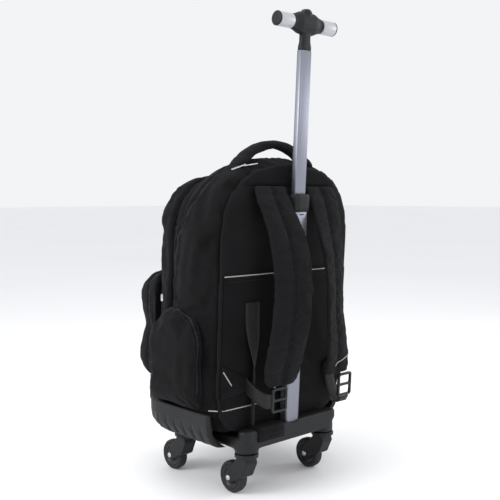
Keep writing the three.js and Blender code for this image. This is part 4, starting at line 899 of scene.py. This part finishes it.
pocket_face = slice_ring(front_pocket, depth.min() + 0.72 * (depth.max() - depth.min()))
applied(front_pocket, "SUBSURF", levels=1, render_levels=1)
sew_in(front_pocket, pocket_rim, 0.0020, 0.004, pitch=0.016, pucker=0.0009)
sew_in(front_pocket, pocket_face, 0.0022, 0.004, pitch=0.018, pucker=0.0010)
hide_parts("front_pocket")
line, outward = laid_on(front_pocket, pocket_face, 0.0007)
tube("front_pocket_cord", evened(line, 0.004, 2)[:-1], 0.0017, cloth_finish, closed=True)
arch = pocket_rim[pocket_rim[:, 2] > 0.24]
line, outward = laid_on(front_pocket, arch, 0.0004)
row_of("front_pocket_zip_teeth", [(line, outward)], tooth, TOOTH_PITCH, nylon_finish)
rows = [beside(line, outward, offset, front_pocket) for offset in (-0.007, 0.007)]
row_of("front_pocket_stitches", rows, stitch, STITCH_PITCH, nylon_finish)

# Corner guards and base: injection-moulded black polypropylene with a fine spark-eroded grain. The
# guards wrap the bag's lower front corners with upright ribs; the tray carries the four caster sockets.
def softened(name, node, voxel, turns, finish, body="bag", share=0.5):
    """A moulded part from its CAD form: the same skin at an even grid, with its corners rounded."""
    piece = new_piece(name, copy_of(node), finish, body)
    applied(piece, "REMESH", mode="VOXEL", voxel_size=voxel)
    relax(piece, turns, share)
    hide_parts(node)
    return piece


def moulded_finish(name, dark, light, rough, grain_scale, relief):
    """Moulded black plastic: fine grain, a slow change of gloss where hands and floors have rubbed it."""
    finish, tree, shader, place = new_finish(name, Roughness=rough, IOR=1.49)
    shader.inputs["Specular IOR Level"].default_value = 0.3
    grain = add_node(tree, "ShaderNodeTexVoronoi", None, {"Vector": place, "Scale": grain_scale})
    worn = add_node(tree, "ShaderNodeTexNoise", None, {"Vector": place, "Scale": 22.0, "Detail": 4.0})
    gloss = add_node(
        tree, "ShaderNodeMath", {"operation": "MULTIPLY_ADD"}, {
            0: worn.outputs["Fac"], 1: 0.24, 2: rough - 0.12
        }
    )
    tree.links.new(gloss.outputs[0], shader.inputs["Roughness"])
    tone = add_node(tree, "ShaderNodeMix", {"data_type": "RGBA"}, {"Factor": worn.outputs["Fac"]})
    tone.inputs["A"].default_value = linear(dark)
    tone.inputs["B"].default_value = linear(light)
    tree.links.new(tone.outputs["Result"], shader.inputs["Base Color"])
    bump = add_node(
        tree, "ShaderNodeBump", None, {
            "Height": grain.outputs["Distance"], "Strength": 0.35, "Distance": relief
        }
    )
    tree.links.new(bump.outputs["Normal"], shader.inputs["Normal"])
    return finish


plastic_finish = moulded_finish("grained_polypropylene", "0e0f10", "17181a", 0.52, 900.0, 0.00015)
for side in ("left", "right"):
    softened(
        "side_guard_" + side + "_moulding", "side_guard_" + side, 0.0022, 3, plastic_finish
    )
softened("base_moulding", "base", 0.0024, 2, plastic_finish)

# Casters: four twin-arm swivel forks of the same plastic, each with a hard rubber tyre on a dished
# hub and a bright steel pin whose head shows in the arm. Forks turn on the base, wheels in the forks.
TYRE_ROUND = 0.0042
HUB_SLOTS = 3


def turned(name, profile, centre, finish, body, node=None, around=48, closed=True):
    """A turned part: a profile of places along its axis and radii, swept round the axis through centre."""
    bm = bmesh.new()
    rings = []
    for place, radius in profile:
        if radius < 1e-6:
            rings.append([bm.verts.new((place, 0.0, 0.0))])
            continue
        ring = []
        for k in range(around):
            angle = 2 * math.pi * k / around
            ring.append(bm.verts.new((place, radius * math.cos(angle), radius * math.sin(angle))))
        rings.append(ring)
    if closed:
        rings.append(rings[0])
    for low, high in zip(rings, rings[1:]):
        for k in range(around):
            a, b = low[k % len(low)], low[(k + 1) % len(low)]
            c, d = high[(k + 1) % len(high)], high[k % len(high)]
            corners = list(dict.fromkeys((a, b, c, d)))
            if len(corners) > 2:
                bm.faces.new(corners)
    bmesh.ops.translate(bm, verts=bm.verts, vec=centre)
    bmesh.ops.recalc_face_normals(bm, faces=bm.faces)
    piece = new_piece(name, bm, finish, body)
    if node:
        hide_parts(node)
    return piece


# Thermoplastic rubber: matt black, a little scuffed round the tread. The same finish colours the painted
# shade in the pole's locking slot.
rubber_and_slot_shade_finish, tree, shader, place = new_finish("thermoplastic_rubber", Roughness=0.72, IOR=1.52)
shader.inputs["Specular IOR Level"].default_value = 0.35
scuff = add_node(
    tree, "ShaderNodeTexNoise", None, {"Vector": place, "Scale": 140.0, "Detail": 6.0, "Roughness": 0.7}
)
tone = add_node(tree, "ShaderNodeMix", {"data_type": "RGBA"}, {"Factor": scuff.outputs["Fac"]})
tone.inputs["A"].default_value = linear("131315")
tone.inputs["B"].default_value = linear("2a2a2d")
tree.links.new(tone.outputs["Result"], shader.inputs["Base Color"])
bump = add_node(
    tree, "ShaderNodeBump", None, {"Height": scuff.outputs["Fac"], "Strength": 0.3, "Distance": 0.0003}
)
tree.links.new(bump.outputs["Normal"], shader.inputs["Normal"])

hub_finish = moulded_finish("polished_nylon_hub", "17181a", "232427", 0.36, 1400.0, 0.00006)

# Zinc-plated steel: bright pin heads and slider bodies, with fine turning marks
steel_finish, tree, shader, place = new_finish("zinc_plated_steel", Metallic=1.0, Roughness=0.28)
shader.inputs["Base Color"].default_value = linear("c3c5ca")
marks = add_node(tree, "ShaderNodeTexNoise", None, {"Vector": place, "Scale": 700.0, "Detail": 3.0})
gloss = add_node(
    tree, "ShaderNodeMath", {"operation": "MULTIPLY_ADD"}, {0: marks.outputs["Fac"], 1: 0.2, 2: 0.18}
)
tree.links.new(gloss.outputs[0], shader.inputs["Roughness"])
bump = add_node(
    tree, "ShaderNodeBump", None, {"Height": marks.outputs["Fac"], "Strength": 0.12, "Distance": 0.0001}
)
tree.links.new(bump.outputs["Normal"], shader.inputs["Normal"])

for place_name in ("rear_left", "rear_right", "front_left", "front_right"):
    softened(
        "fork_" + place_name + "_moulding", "fork_" + place_name, 0.0012, 4, plastic_finish,
        "swivel_" + place_name,
    )
    low, high = (Vector(c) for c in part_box("tyre_" + place_name))
    centre = (low + high) / 2
    rim = (high.z - low.z) / 2
    half = (high.x - low.x) / 2
    hub_low, hub_high = (Vector(c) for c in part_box("hub_" + place_name))
    hub_radius = (hub_high.z - hub_low.z) / 2
    hub_half = (hub_high.x - hub_low.x) / 2
    bore = hub_radius + 0.0002
    tread = []
    for k in range(9):
        angle = math.pi * k / 8
        tread.append((-half * math.cos(angle), rim - TYRE_ROUND * (1 - math.sin(angle)) ** 1.5))
    profile = [(-half * 0.9, bore)] + tread + [(half * 0.9, bore)]
    turned(
        "tyre_" + place_name + "_rubber", profile, centre, rubber_and_slot_shade_finish, "wheel_" + place_name,
        "tyre_" + place_name,
    )
    axle_low, axle_high = (Vector(c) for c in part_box("axle_" + place_name))
    pin = (axle_high.z - axle_low.z) / 2
    pin_half = (axle_high.x - axle_low.x) / 2
    eye = pin + 0.0008
    dish = [
        (-hub_half, eye), (-hub_half, pin + 0.0032), (-hub_half * 0.55, pin + 0.0042),
        (-hub_half * 0.5, hub_radius * 0.74), (-hub_half * 0.86, hub_radius * 0.84),
        (-hub_half * 0.94, hub_radius - 0.0005), (-hub_half * 0.8, hub_radius),
    ]
    profile = dish + [(-p, r) for p, r in reversed(dish)]
    turned(
        "hub_" + place_name + "_nylon", profile, centre, hub_finish, "wheel_" + place_name,
        "hub_" + place_name,
    )
    for side in (-1, 1):
        for k in range(HUB_SLOTS):
            angle = 2 * math.pi * k / HUB_SLOTS + 0.5
            arc = []
            for step in range(9):
                turn = angle + (step / 8 - 0.5) * 1.25
                reach = hub_radius * 0.56
                arc.append(
                    centre + Vector((side * hub_half * 0.56, reach * math.cos(turn), reach * math.sin(turn)))
                )
            rib = tube(
                "hub_%s_rib_%s%d" % (place_name, "a" if side < 0 else "b", k), arc, 0.0011, hub_finish,
                body="wheel_" + place_name,
            )
    head = [
        (-pin_half, 0.0), (-pin_half, pin * 0.42), (-pin_half + 0.0006, pin * 0.48),
        (-pin_half + 0.0003, pin * 0.62), (-pin_half + 0.0003, pin * 0.84),
        (-pin_half + 0.0009, pin * 0.97), (-pin_half + 0.0018, pin),
    ]
    profile = head + [(-p, r) for p, r in reversed(head)]
    turned(
        "axle_" + place_name + "_pin", profile, centre, steel_finish, "swivel_" + place_name,
        "axle_" + place_name, 32, closed=False,
    )

# The pole: two drawn tubes of anodised aluminium, the upper sliding in the lower, with a plastic
# collar clamped round the joint. The lower tube has a locking slot and a spring button below it.
def pole_tube(name, node, corner, body, wall=0.0013, around=8):
    """A drawn oblong tube along the bag's lean, from the CAD tube's size, with open ends."""
    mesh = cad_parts[node].data
    rows = np.array([v.co[:] for v in mesh.vertices])
    axis = np.array([0.0, -LEAN.z, LEAN.y])
    along = rows @ axis
    depth = rows @ np.array(LEAN)
    half_x = np.abs(rows[:, 0]).max()
    half_y = (depth.max() - depth.min()) / 2
    middle = (depth.max() + depth.min()) / 2
    outline = []
    for cx, cy, start in ((1, 1, 0), (-1, 1, 1), (-1, -1, 2), (1, -1, 3)):
        for k in range(around + 1):
            angle = (start + k / around) * math.pi / 2
            outline.append(
                (
                    cx * (half_x - corner) + corner * math.cos(angle),
                    cy * (half_y - corner) + corner * math.sin(angle),
                )
            )

    def ring(bm, place, shrink):
        made = []
        for x, y in outline:
            x -= math.copysign(min(shrink, abs(x)), x) if abs(x) > 1e-9 else 0
            y -= math.copysign(min(shrink, abs(y)), y) if abs(y) > 1e-9 else 0
            made.append(bm.verts.new(Vector((x, 0, 0)) + Vector(axis) * place + LEAN * (middle + y)))
        return made

    bm = bmesh.new()
    low, high = along.min(), along.max()
    rings = [
        ring(bm, low + 0.001, wall), ring(bm, low, wall), ring(bm, low, 0.0003), ring(bm, low + 0.0004, 0.0),
        ring(bm, high - 0.0004, 0.0), ring(bm, high, 0.0003), ring(bm, high, wall),
        ring(bm, high - 0.001, wall),
    ]
    rings.append(rings[0])
    for lower, upper in zip(rings, rings[1:]):
        for k in range(len(outline)):
            nxt = (k + 1) % len(outline)
            bm.faces.new((lower[k], lower[nxt], upper[nxt], upper[k]))
    bmesh.ops.recalc_face_normals(bm, faces=bm.faces)
    piece = new_piece(name, bm, aluminium_finish, body)
    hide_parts(node)
    return high, half_y, middle, Vector(axis)


# Clear-anodised aluminium: pale lilac grey, half matt, with fine drawing lines along the tube
aluminium_finish, tree, shader, place = new_finish("clear_anodised_aluminium", Metallic=0.85, Roughness=0.36)
stretch = add_node(tree, "ShaderNodeMapping", None, {"Vector": place, "Scale": (1.0, 1.0, 0.012)})
draw = add_node(
    tree, "ShaderNodeTexNoise", None, {"Vector": stretch.outputs[0], "Scale": 2600.0, "Detail": 2.0}
)
tone = add_node(tree, "ShaderNodeMix", {"data_type": "RGBA"}, {"Factor": draw.outputs["Fac"]})
tone.inputs["A"].default_value = linear("81838f")
tone.inputs["B"].default_value = linear("90929e")
tree.links.new(tone.outputs["Result"], shader.inputs["Base Color"])
gloss = add_node(
    tree, "ShaderNodeMath", {"operation": "MULTIPLY_ADD"}, {0: draw.outputs["Fac"], 1: 0.16, 2: 0.32}
)
tree.links.new(gloss.outputs[0], shader.inputs["Roughness"])
bump = add_node(
    tree, "ShaderNodeBump", None, {"Height": draw.outputs["Fac"], "Strength": 0.08, "Distance": 0.0001}
)
tree.links.new(bump.outputs["Normal"], shader.inputs["Normal"])

outer = pole_tube("pole_outer_tube", "pole_outer", 0.0058, "bag")
pole_tube("pole_inner_tube", "pole_inner", 0.0052, "handle")
softened("pole_collar_moulding", "pole_collar", 0.0011, 4, plastic_finish)

# The locking slot and the spring button, on the rear face below the collar. The slot's dark mouth is painted
# shade: a dark cord of the rubber finish, laid just proud of the face, stands in for the shade inside the
# slot.
high, half_y, middle, axis = outer
rear = LEAN * (middle - half_y)


def on_tube(x, below, proud=0.0):
    """A point on the lower tube's rear face, a distance below its top."""
    return rear + axis * (high - below) + Vector((x, 0, 0)) - LEAN * proud


# Painted shade: this dark cord stands in for the shade inside the locking slot
slot_shade_line = [on_tube(x, 0.0045, 0.0001) for x in np.linspace(-0.0042, 0.0042, 7)]
tube("pole_slot", slot_shade_line, 0.0009, rubber_and_slot_shade_finish)
button_centre = on_tube(0.002, 0.027, -0.0004)
rings = [(0.0024, 0.0), (0.0024, 0.0011), (0.0018, 0.0017), (0.0009, 0.0020)]
bm = bmesh.new()
made = [
    [bm.verts.new(button_centre + Vector((r * math.cos(t), 0, 0)) + axis * (r * math.sin(t)) - LEAN * out)
     for t in np.linspace(0, 2 * math.pi, 24, endpoint=False)]
    for r, out in rings
]
for lower, upper in zip(made, made[1:]):
    for k in range(24):
        bm.faces.new((lower[k], lower[(k + 1) % 24], upper[(k + 1) % 24], upper[k]))
bm.faces.new(made[0])
bm.faces.new(made[-1])
bmesh.ops.recalc_face_normals(bm, faces=bm.faces)
new_piece("pole_spring_button", bm, steel_finish)

# The T handle: a moulded middle with a push button, a silver-painted grip sleeve on each arm and a
# black cap in its end. Handle, grips and caps slide with the upper tube; the button presses down.
softened("handle_moulding", "handle_body", 0.0011, 6, plastic_finish, "handle")
silver_finish, tree, shader, place = new_finish(
    "silver_painted_plastic", Metallic=0.25, Roughness=0.42, IOR=1.5
)
flake = add_node(tree, "ShaderNodeTexVoronoi", None, {"Vector": place, "Scale": 1800.0})
tone = add_node(tree, "ShaderNodeMix", {"data_type": "RGBA"}, {"Factor": flake.outputs["Distance"]})
tone.inputs["A"].default_value = linear("bfc0c5")
tone.inputs["B"].default_value = linear("a9aab0")
tree.links.new(tone.outputs["Result"], shader.inputs["Base Color"])
bump = add_node(
    tree, "ShaderNodeBump", None, {"Height": flake.outputs["Distance"], "Strength": 0.06, "Distance": 0.0001}
)
tree.links.new(bump.outputs["Normal"], shader.inputs["Normal"])
for side, sign in (("left", -1), ("right", 1)):
    low, high = (Vector(c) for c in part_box("grip_" + side))
    centre = (low + high) / 2
    half = (high.x - low.x) / 2
    radius = (high.y - low.y) / 2
    edge = 0.0010
    profile = [
        (-half, radius * 0.62), (-half, radius - edge), (-half + edge * 0.3, radius - edge * 0.3),
        (-half + edge, radius),
    ]
    profile += [
        (half - edge, radius), (half - edge * 0.3, radius - edge * 0.3), (half, radius - edge),
        (half, radius * 0.62),
    ]
    turned(
        "grip_" + side + "_sleeve", profile, centre, silver_finish, "handle", "grip_" + side,
        64,
    )
    low, high = (Vector(c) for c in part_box("grip_cap_" + side))
    centre = (low + high) / 2
    half = (high.x - low.x) / 2
    profile = [(-half, 0.0), (-half, radius - 0.0012), (-half * 0.75, radius - 0.0003), (-half * 0.2, radius)]
    profile += [
        (half * 0.35, radius * 0.94), (half * 0.8, radius * 0.84), (half, radius * 0.7),
        (half * 0.9, radius * 0.3), (half * 0.85, 0.0),
    ]
    if sign < 0:
        profile = [(-p, r) for p, r in profile]
    turned(
        "grip_cap_" + side + "_moulding", profile, centre, plastic_finish, "handle",
        "grip_cap_" + side, 48, closed=False,
    )
button_finish = moulded_finish("smooth_acetal_button", "131415", "1c1d1f", 0.34, 1500.0, 0.00005)
softened("release_button_moulding", "release_button", 0.0007, 3, button_finish, "button")

# The carry handle: a padded loop of the bag's cloth over foam, sewn into the bag's top at both feet,
# with a seam along its underside. It is rounder in the middle and spreads towards its feet.
def padded_form(name, node, voxel, turns, pull_in, swell, hold=None, slack=0.02, pressure=4.0):
    """A padded piece from its CAD form, drawn in a little and blown up again where no seam holds it."""
    piece = new_piece(name, copy_of(node), padded_finish)
    applied(piece, "REMESH", mode="VOXEL", voxel_size=voxel)
    relax(piece, turns)
    free = np.ones(len(piece.data.vertices)) if hold is None else hold(points_of(piece))
    rows, out = points_of(piece), points_of(piece, "normal")
    move_points(piece, rows - out * (pull_in * free)[:, None])
    stuffed(piece, free, swell, slack=slack, pressure=pressure)
    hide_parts(node)
    return piece


handle_low, handle_high = (Vector(c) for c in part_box("carry_handle"))
loop = padded_form(
    "carry_handle_padding",
    "carry_handle",
    0.0028,
    6,
    0.001,
    0.0022,
    lambda rows: np.clip((rows[:, 2] - handle_low.z - 0.012) / 0.01, 0, 1),
)
applied(loop, "SUBSURF", levels=1, render_levels=1)
mid_y = (handle_low.y + handle_high.y) / 2
probe = []
for x in np.linspace(-0.078, 0.078, 40):
    lift = 0.028 * (1 - (x / 0.1) ** 2)
    probe.append((x, mid_y - 0.0005, handle_low.z + 0.012 + lift - 0.03))
under_line = laid_on(loop, probe, 0.0001)[0]
sew_in(loop, under_line, 0.0012, 0.003, pitch=0.012, pucker=0.0005)

# Shoulder straps: foam between two layers of cloth, turned in at the edges and sewn together down a
# channel in the middle. They leave the yoke, bow away from the back and end in a folded hem.
CHANNEL_DEPTH = 0.0042


def strap_lines(piece, steps=60):
    """The strap's middle line on its outer face, and its two edge lines, from the top down."""
    rows = points_of(piece)
    levels = np.linspace(rows[:, 2].max() - 0.004, rows[:, 2].min() + 0.003, steps)
    middle, inner, outer = [], [], []
    for z in levels:
        near = rows[np.abs(rows[:, 2] - z) < 0.0045]
        low, high = near[:, 0].min(), near[:, 0].max()
        centre = (low + high) / 2
        face = near[np.abs(near[:, 0] - centre) < 0.006]
        middle.append((centre, face[:, 1].min(), z))
        inner.append(near[near[:, 0].argmin()])
        outer.append(near[near[:, 0].argmax()])
    return [evened(np.array(line), 0.005, 10) for line in (middle, inner, outer)]


def cast_on(piece, line, proud=0.0, way=(0.0, 1.0, 0.0)):
    """Drops a line of points straight on to a piece, so that it looks straight from outside."""
    skin = skin_of(piece)
    found = [skin.ray_cast(Vector(point) - Vector(way) * 0.1, Vector(way)) for point in line]
    found = [f for f in found if f[0] is not None]
    outward = np.array([f[1] for f in found])
    return np.array([f[0] for f in found]) + outward * proud, outward


# The light stripe over each strap's hem: its ends as shares of the strap's width, and its slope
STRIPES = {"left": (0.24, 0.62, 0.030), "right": (0.30, 0.92, -0.030)}
for side, sign in (("left", -1), ("right", 1)):
    node = "shoulder_strap_" + side
    strap_low, strap_high = (Vector(c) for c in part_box(node))
    scratch = new_piece(node + "_lines", copy_of(node), padded_finish)
    applied(scratch, "REMESH", mode="VOXEL", voxel_size=0.003)
    channel, edge_a, edge_b = strap_lines(scratch)
    bpy.data.objects.remove(scratch)

    def held_in_channel(rows):
        away = nearest_on(channel, rows)[0]
        rim = np.minimum(nearest_on(edge_a, rows)[0], nearest_on(edge_b, rows)[0])
        ends = np.minimum(rows[:, 2] - strap_low.z - 0.004, strap_high.z - rows[:, 2] - 0.006)
        inside = np.clip((away - 0.003) / 0.005, 0, 1) * np.clip((rim - 0.002) / 0.005, 0, 1)
        return inside * np.clip(ends / 0.006, 0, 1)

    strap = padded_form(
        node + "_padding", node, 0.003, 5, 0.0008, 0.0036, held_in_channel, slack=0.03, pressure=5.0
    )
    applied(strap, "SUBSURF", levels=1, render_levels=1)
    sew_in(strap, channel, CHANNEL_DEPTH, 0.0044, pitch=0.019, pucker=0.0006, reach=3.0)
    for edge in (edge_a, edge_b):
        sew_in(strap, edge, 0.0004, 0.006, pitch=0.023, pucker=0.0006, reach=2.0)
    line, outward = laid_on(strap, channel, 0.0002)
    rows = [beside(line, outward, offset, strap) for offset in (-0.0022, 0.0022)]
    row_of(node + "_stitches", rows, stitch, STRAP_STITCH_PITCH, nylon_finish)
    hem_low = strap_low.z + 0.011
    rows = points_of(strap)
    near = rows[np.abs(rows[:, 2] - hem_low) < 0.003]
    left, right = near[:, 0].min(), near[:, 0].max()
    first, last, slope = STRIPES[side]
    across = [
        (left + (right - left) * share, strap_low.y - 0.02, hem_low - slope * share)
        for share in np.linspace(first, last, 14)
    ]
    line, outward = cast_on(strap, across, 0.0005)
    end_stripe = tube(node + "_end_piping", evened(line, 0.003, 3), 0.0009, piping_and_highlight_finish)

# Ladder-lock buckles: moulded acetal frames with two cross bars. The lower webbing threads them and
# runs to a cloth wing that is sewn into the bag's side seam.
for side in ("left", "right"):
    softened(
        "ladder_lock_" + side + "_moulding", "ladder_lock_" + side, 0.0009, 4, button_finish
    )


def crisp_strip(name, node, finish, body="bag", levels=2, sharp=math.radians(40)):
    """A flat woven strip from its CAD form: smooth along its run, with its corners kept crisp."""
    bm = copy_of(node)
    bmesh.ops.join_triangles(
        bm, faces=bm.faces,
        cmp_seam=False, cmp_sharp=False, cmp_uvs=False, cmp_vcols=False, cmp_materials=False,
        angle_face_threshold=0.7, angle_shape_threshold=0.7,
    )
    layer = bm.edges.layers.float.get("crease_edge") or bm.edges.layers.float.new("crease_edge")
    for edge in bm.edges:
        if len(edge.link_faces) == 2 and edge.calc_face_angle() > sharp:
            edge[layer] = 1.0
    piece = new_piece(name, bm, finish, body)
    applied(piece, "SUBSURF", levels=levels, render_levels=levels)
    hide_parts(node)
    return piece


# Woven nylon webbing: 25 mm wide, with ribs 1.6 mm apart along it and a soft shine
webbing_finish, tree, shader, place = new_finish(
    "woven_nylon_webbing", Roughness=0.62, IOR=1.53, Sheen_Weight=0.08, Sheen_Roughness=0.35
)
shader.inputs["Specular IOR Level"].default_value = 0.3
rib = add_node(
    tree, "ShaderNodeTexWave", {"bands_direction": "Z"}, {"Vector": place, "Scale": 200.0, "Distortion": 0.6}
)
twill = add_node(
    tree, "ShaderNodeTexWave", {"bands_direction": "DIAGONAL"}, {
        "Vector": place, "Scale": 330.0, "Distortion": 0.4
    }
)
height = add_node(
    tree, "ShaderNodeMath", {"operation": "MULTIPLY_ADD"}, {
        0: twill.outputs["Fac"], 1: 0.5, 2: rib.outputs["Fac"]
    }
)
tone = add_node(tree, "ShaderNodeMix", {"data_type": "RGBA"}, {"Factor": twill.outputs["Fac"]})
tone.inputs["A"].default_value = linear("09090a")
tone.inputs["B"].default_value = linear("19191b")
tree.links.new(tone.outputs["Result"], shader.inputs["Base Color"])
bump = add_node(
    tree, "ShaderNodeBump", None, {"Height": height.outputs[0], "Strength": 0.5, "Distance": 0.0003}
)
tree.links.new(bump.outputs["Normal"], shader.inputs["Normal"])


for side, sign in (("left", -1), ("right", 1)):
    crisp_strip(
        "strap_webbing_" + side + "_weave", "strap_webbing_" + side, webbing_finish
    )
    wing = crisp_strip("wing_" + side + "_cloth", "wing_" + side, cloth_finish, levels=1)
    wing_low, wing_high = (Vector(c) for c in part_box("wing_" + side))
    outer_x, inner_x = (wing_low.x, wing_high.x) if sign < 0 else (wing_high.x, wing_low.x)
    span = inner_x - outer_x
    drop = wing_high.z - wing_low.z
    edge_line = [
        (
            outer_x + span * (0.02 + 0.36 * share), wing_low.y - 0.01,
            wing_high.z - drop * (0.16 + 0.42 * share),
        )
        for share in np.linspace(0, 1, 12)
    ]
    line, outward = laid_on(wing, edge_line, 0.0004)
    tube("wing_" + side + "_piping", line, 0.0010, piping_and_highlight_finish)
    rows = []
    for row in (0.12, 0.2):
        run = [
            (outer_x + span * share, wing_low.y - 0.01, wing_low.z + drop * (row + 0.1 * share))
            for share in np.linspace(0.06, 0.92, 16)
        ]
        rows.append(laid_on(wing, run, 0.0001))
    row_of("wing_" + side + "_stitches", rows, stitch, STRAP_STITCH_PITCH, nylon_finish)

# The tie ribbon: soft woven tape that hangs from the back, twists half over and curls at its foot.
# The rail flap: a cloth tongue of the bag, folded down over the base's rear rail and sewn on top.
ribbon = crisp_strip("tie_ribbon_weave", "tie_ribbon", webbing_finish)
flap = crisp_strip("rail_flap_cloth", "rail_flap", cloth_finish)
flap_low, flap_high = (Vector(c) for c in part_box("rail_flap"))
rows = []
for inset in (0.004, 0.009):
    places = np.linspace(flap_low.x + 0.004, flap_high.x - 0.004, 20)
    run = [(x, flap_low.y - 0.01, flap_low.z + inset) for x in places]
    rows.append(laid_on(flap, run, 0.0001))
row_of("rail_flap_stitches", rows, stitch, STRAP_STITCH_PITCH, nylon_finish)

# A painted highlight beside the pole's foot: a short light-grey cord in the piping's finish stands in for the
# light along the lower tube's edge
highlight_rows = laid_on(pocket, [(0.026, -0.12, z) for z in np.linspace(0.1410, 0.1590, 8)], 0.0008)
tube("foot_tape_loop", highlight_rows[0], 0.0011, piping_and_highlight_finish)

# Zip pulls: stamped steel tongues on die-cast sliders; the front pocket's is black woven tape.
PULL_EDGE = 0.0004
for node in ("side_pull_left", "side_pull_right", "top_pull_rear", "top_pull_front"):
    pull = new_piece(node + "_tongue", copy_of(node), steel_finish)
    applied(pull, "BEVEL", width=PULL_EDGE, segments=2, limit_method="ANGLE")
    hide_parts(node)
front_tape = new_piece("front_pull_tape", copy_of("front_pull"), webbing_finish)
applied(front_tape, "BEVEL", width=PULL_EDGE, segments=2, limit_method="ANGLE")
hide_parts("front_pull")
low, high = (Vector(c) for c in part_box("front_pull"))
mid_x, mid_y = (low.x + high.x) / 2 - 0.0011, (low.y + high.y) / 2
metal = [(mid_x, mid_y, z) for z in np.linspace(high.z - 0.016, high.z - 0.001, 8)]
tube("front_pull_clip", metal, 0.0012, steel_finish)

# The grain shapes that were copied along the seams are no pieces themselves
for shape in (tooth, stitch):
    bpy.data.objects.remove(shape)
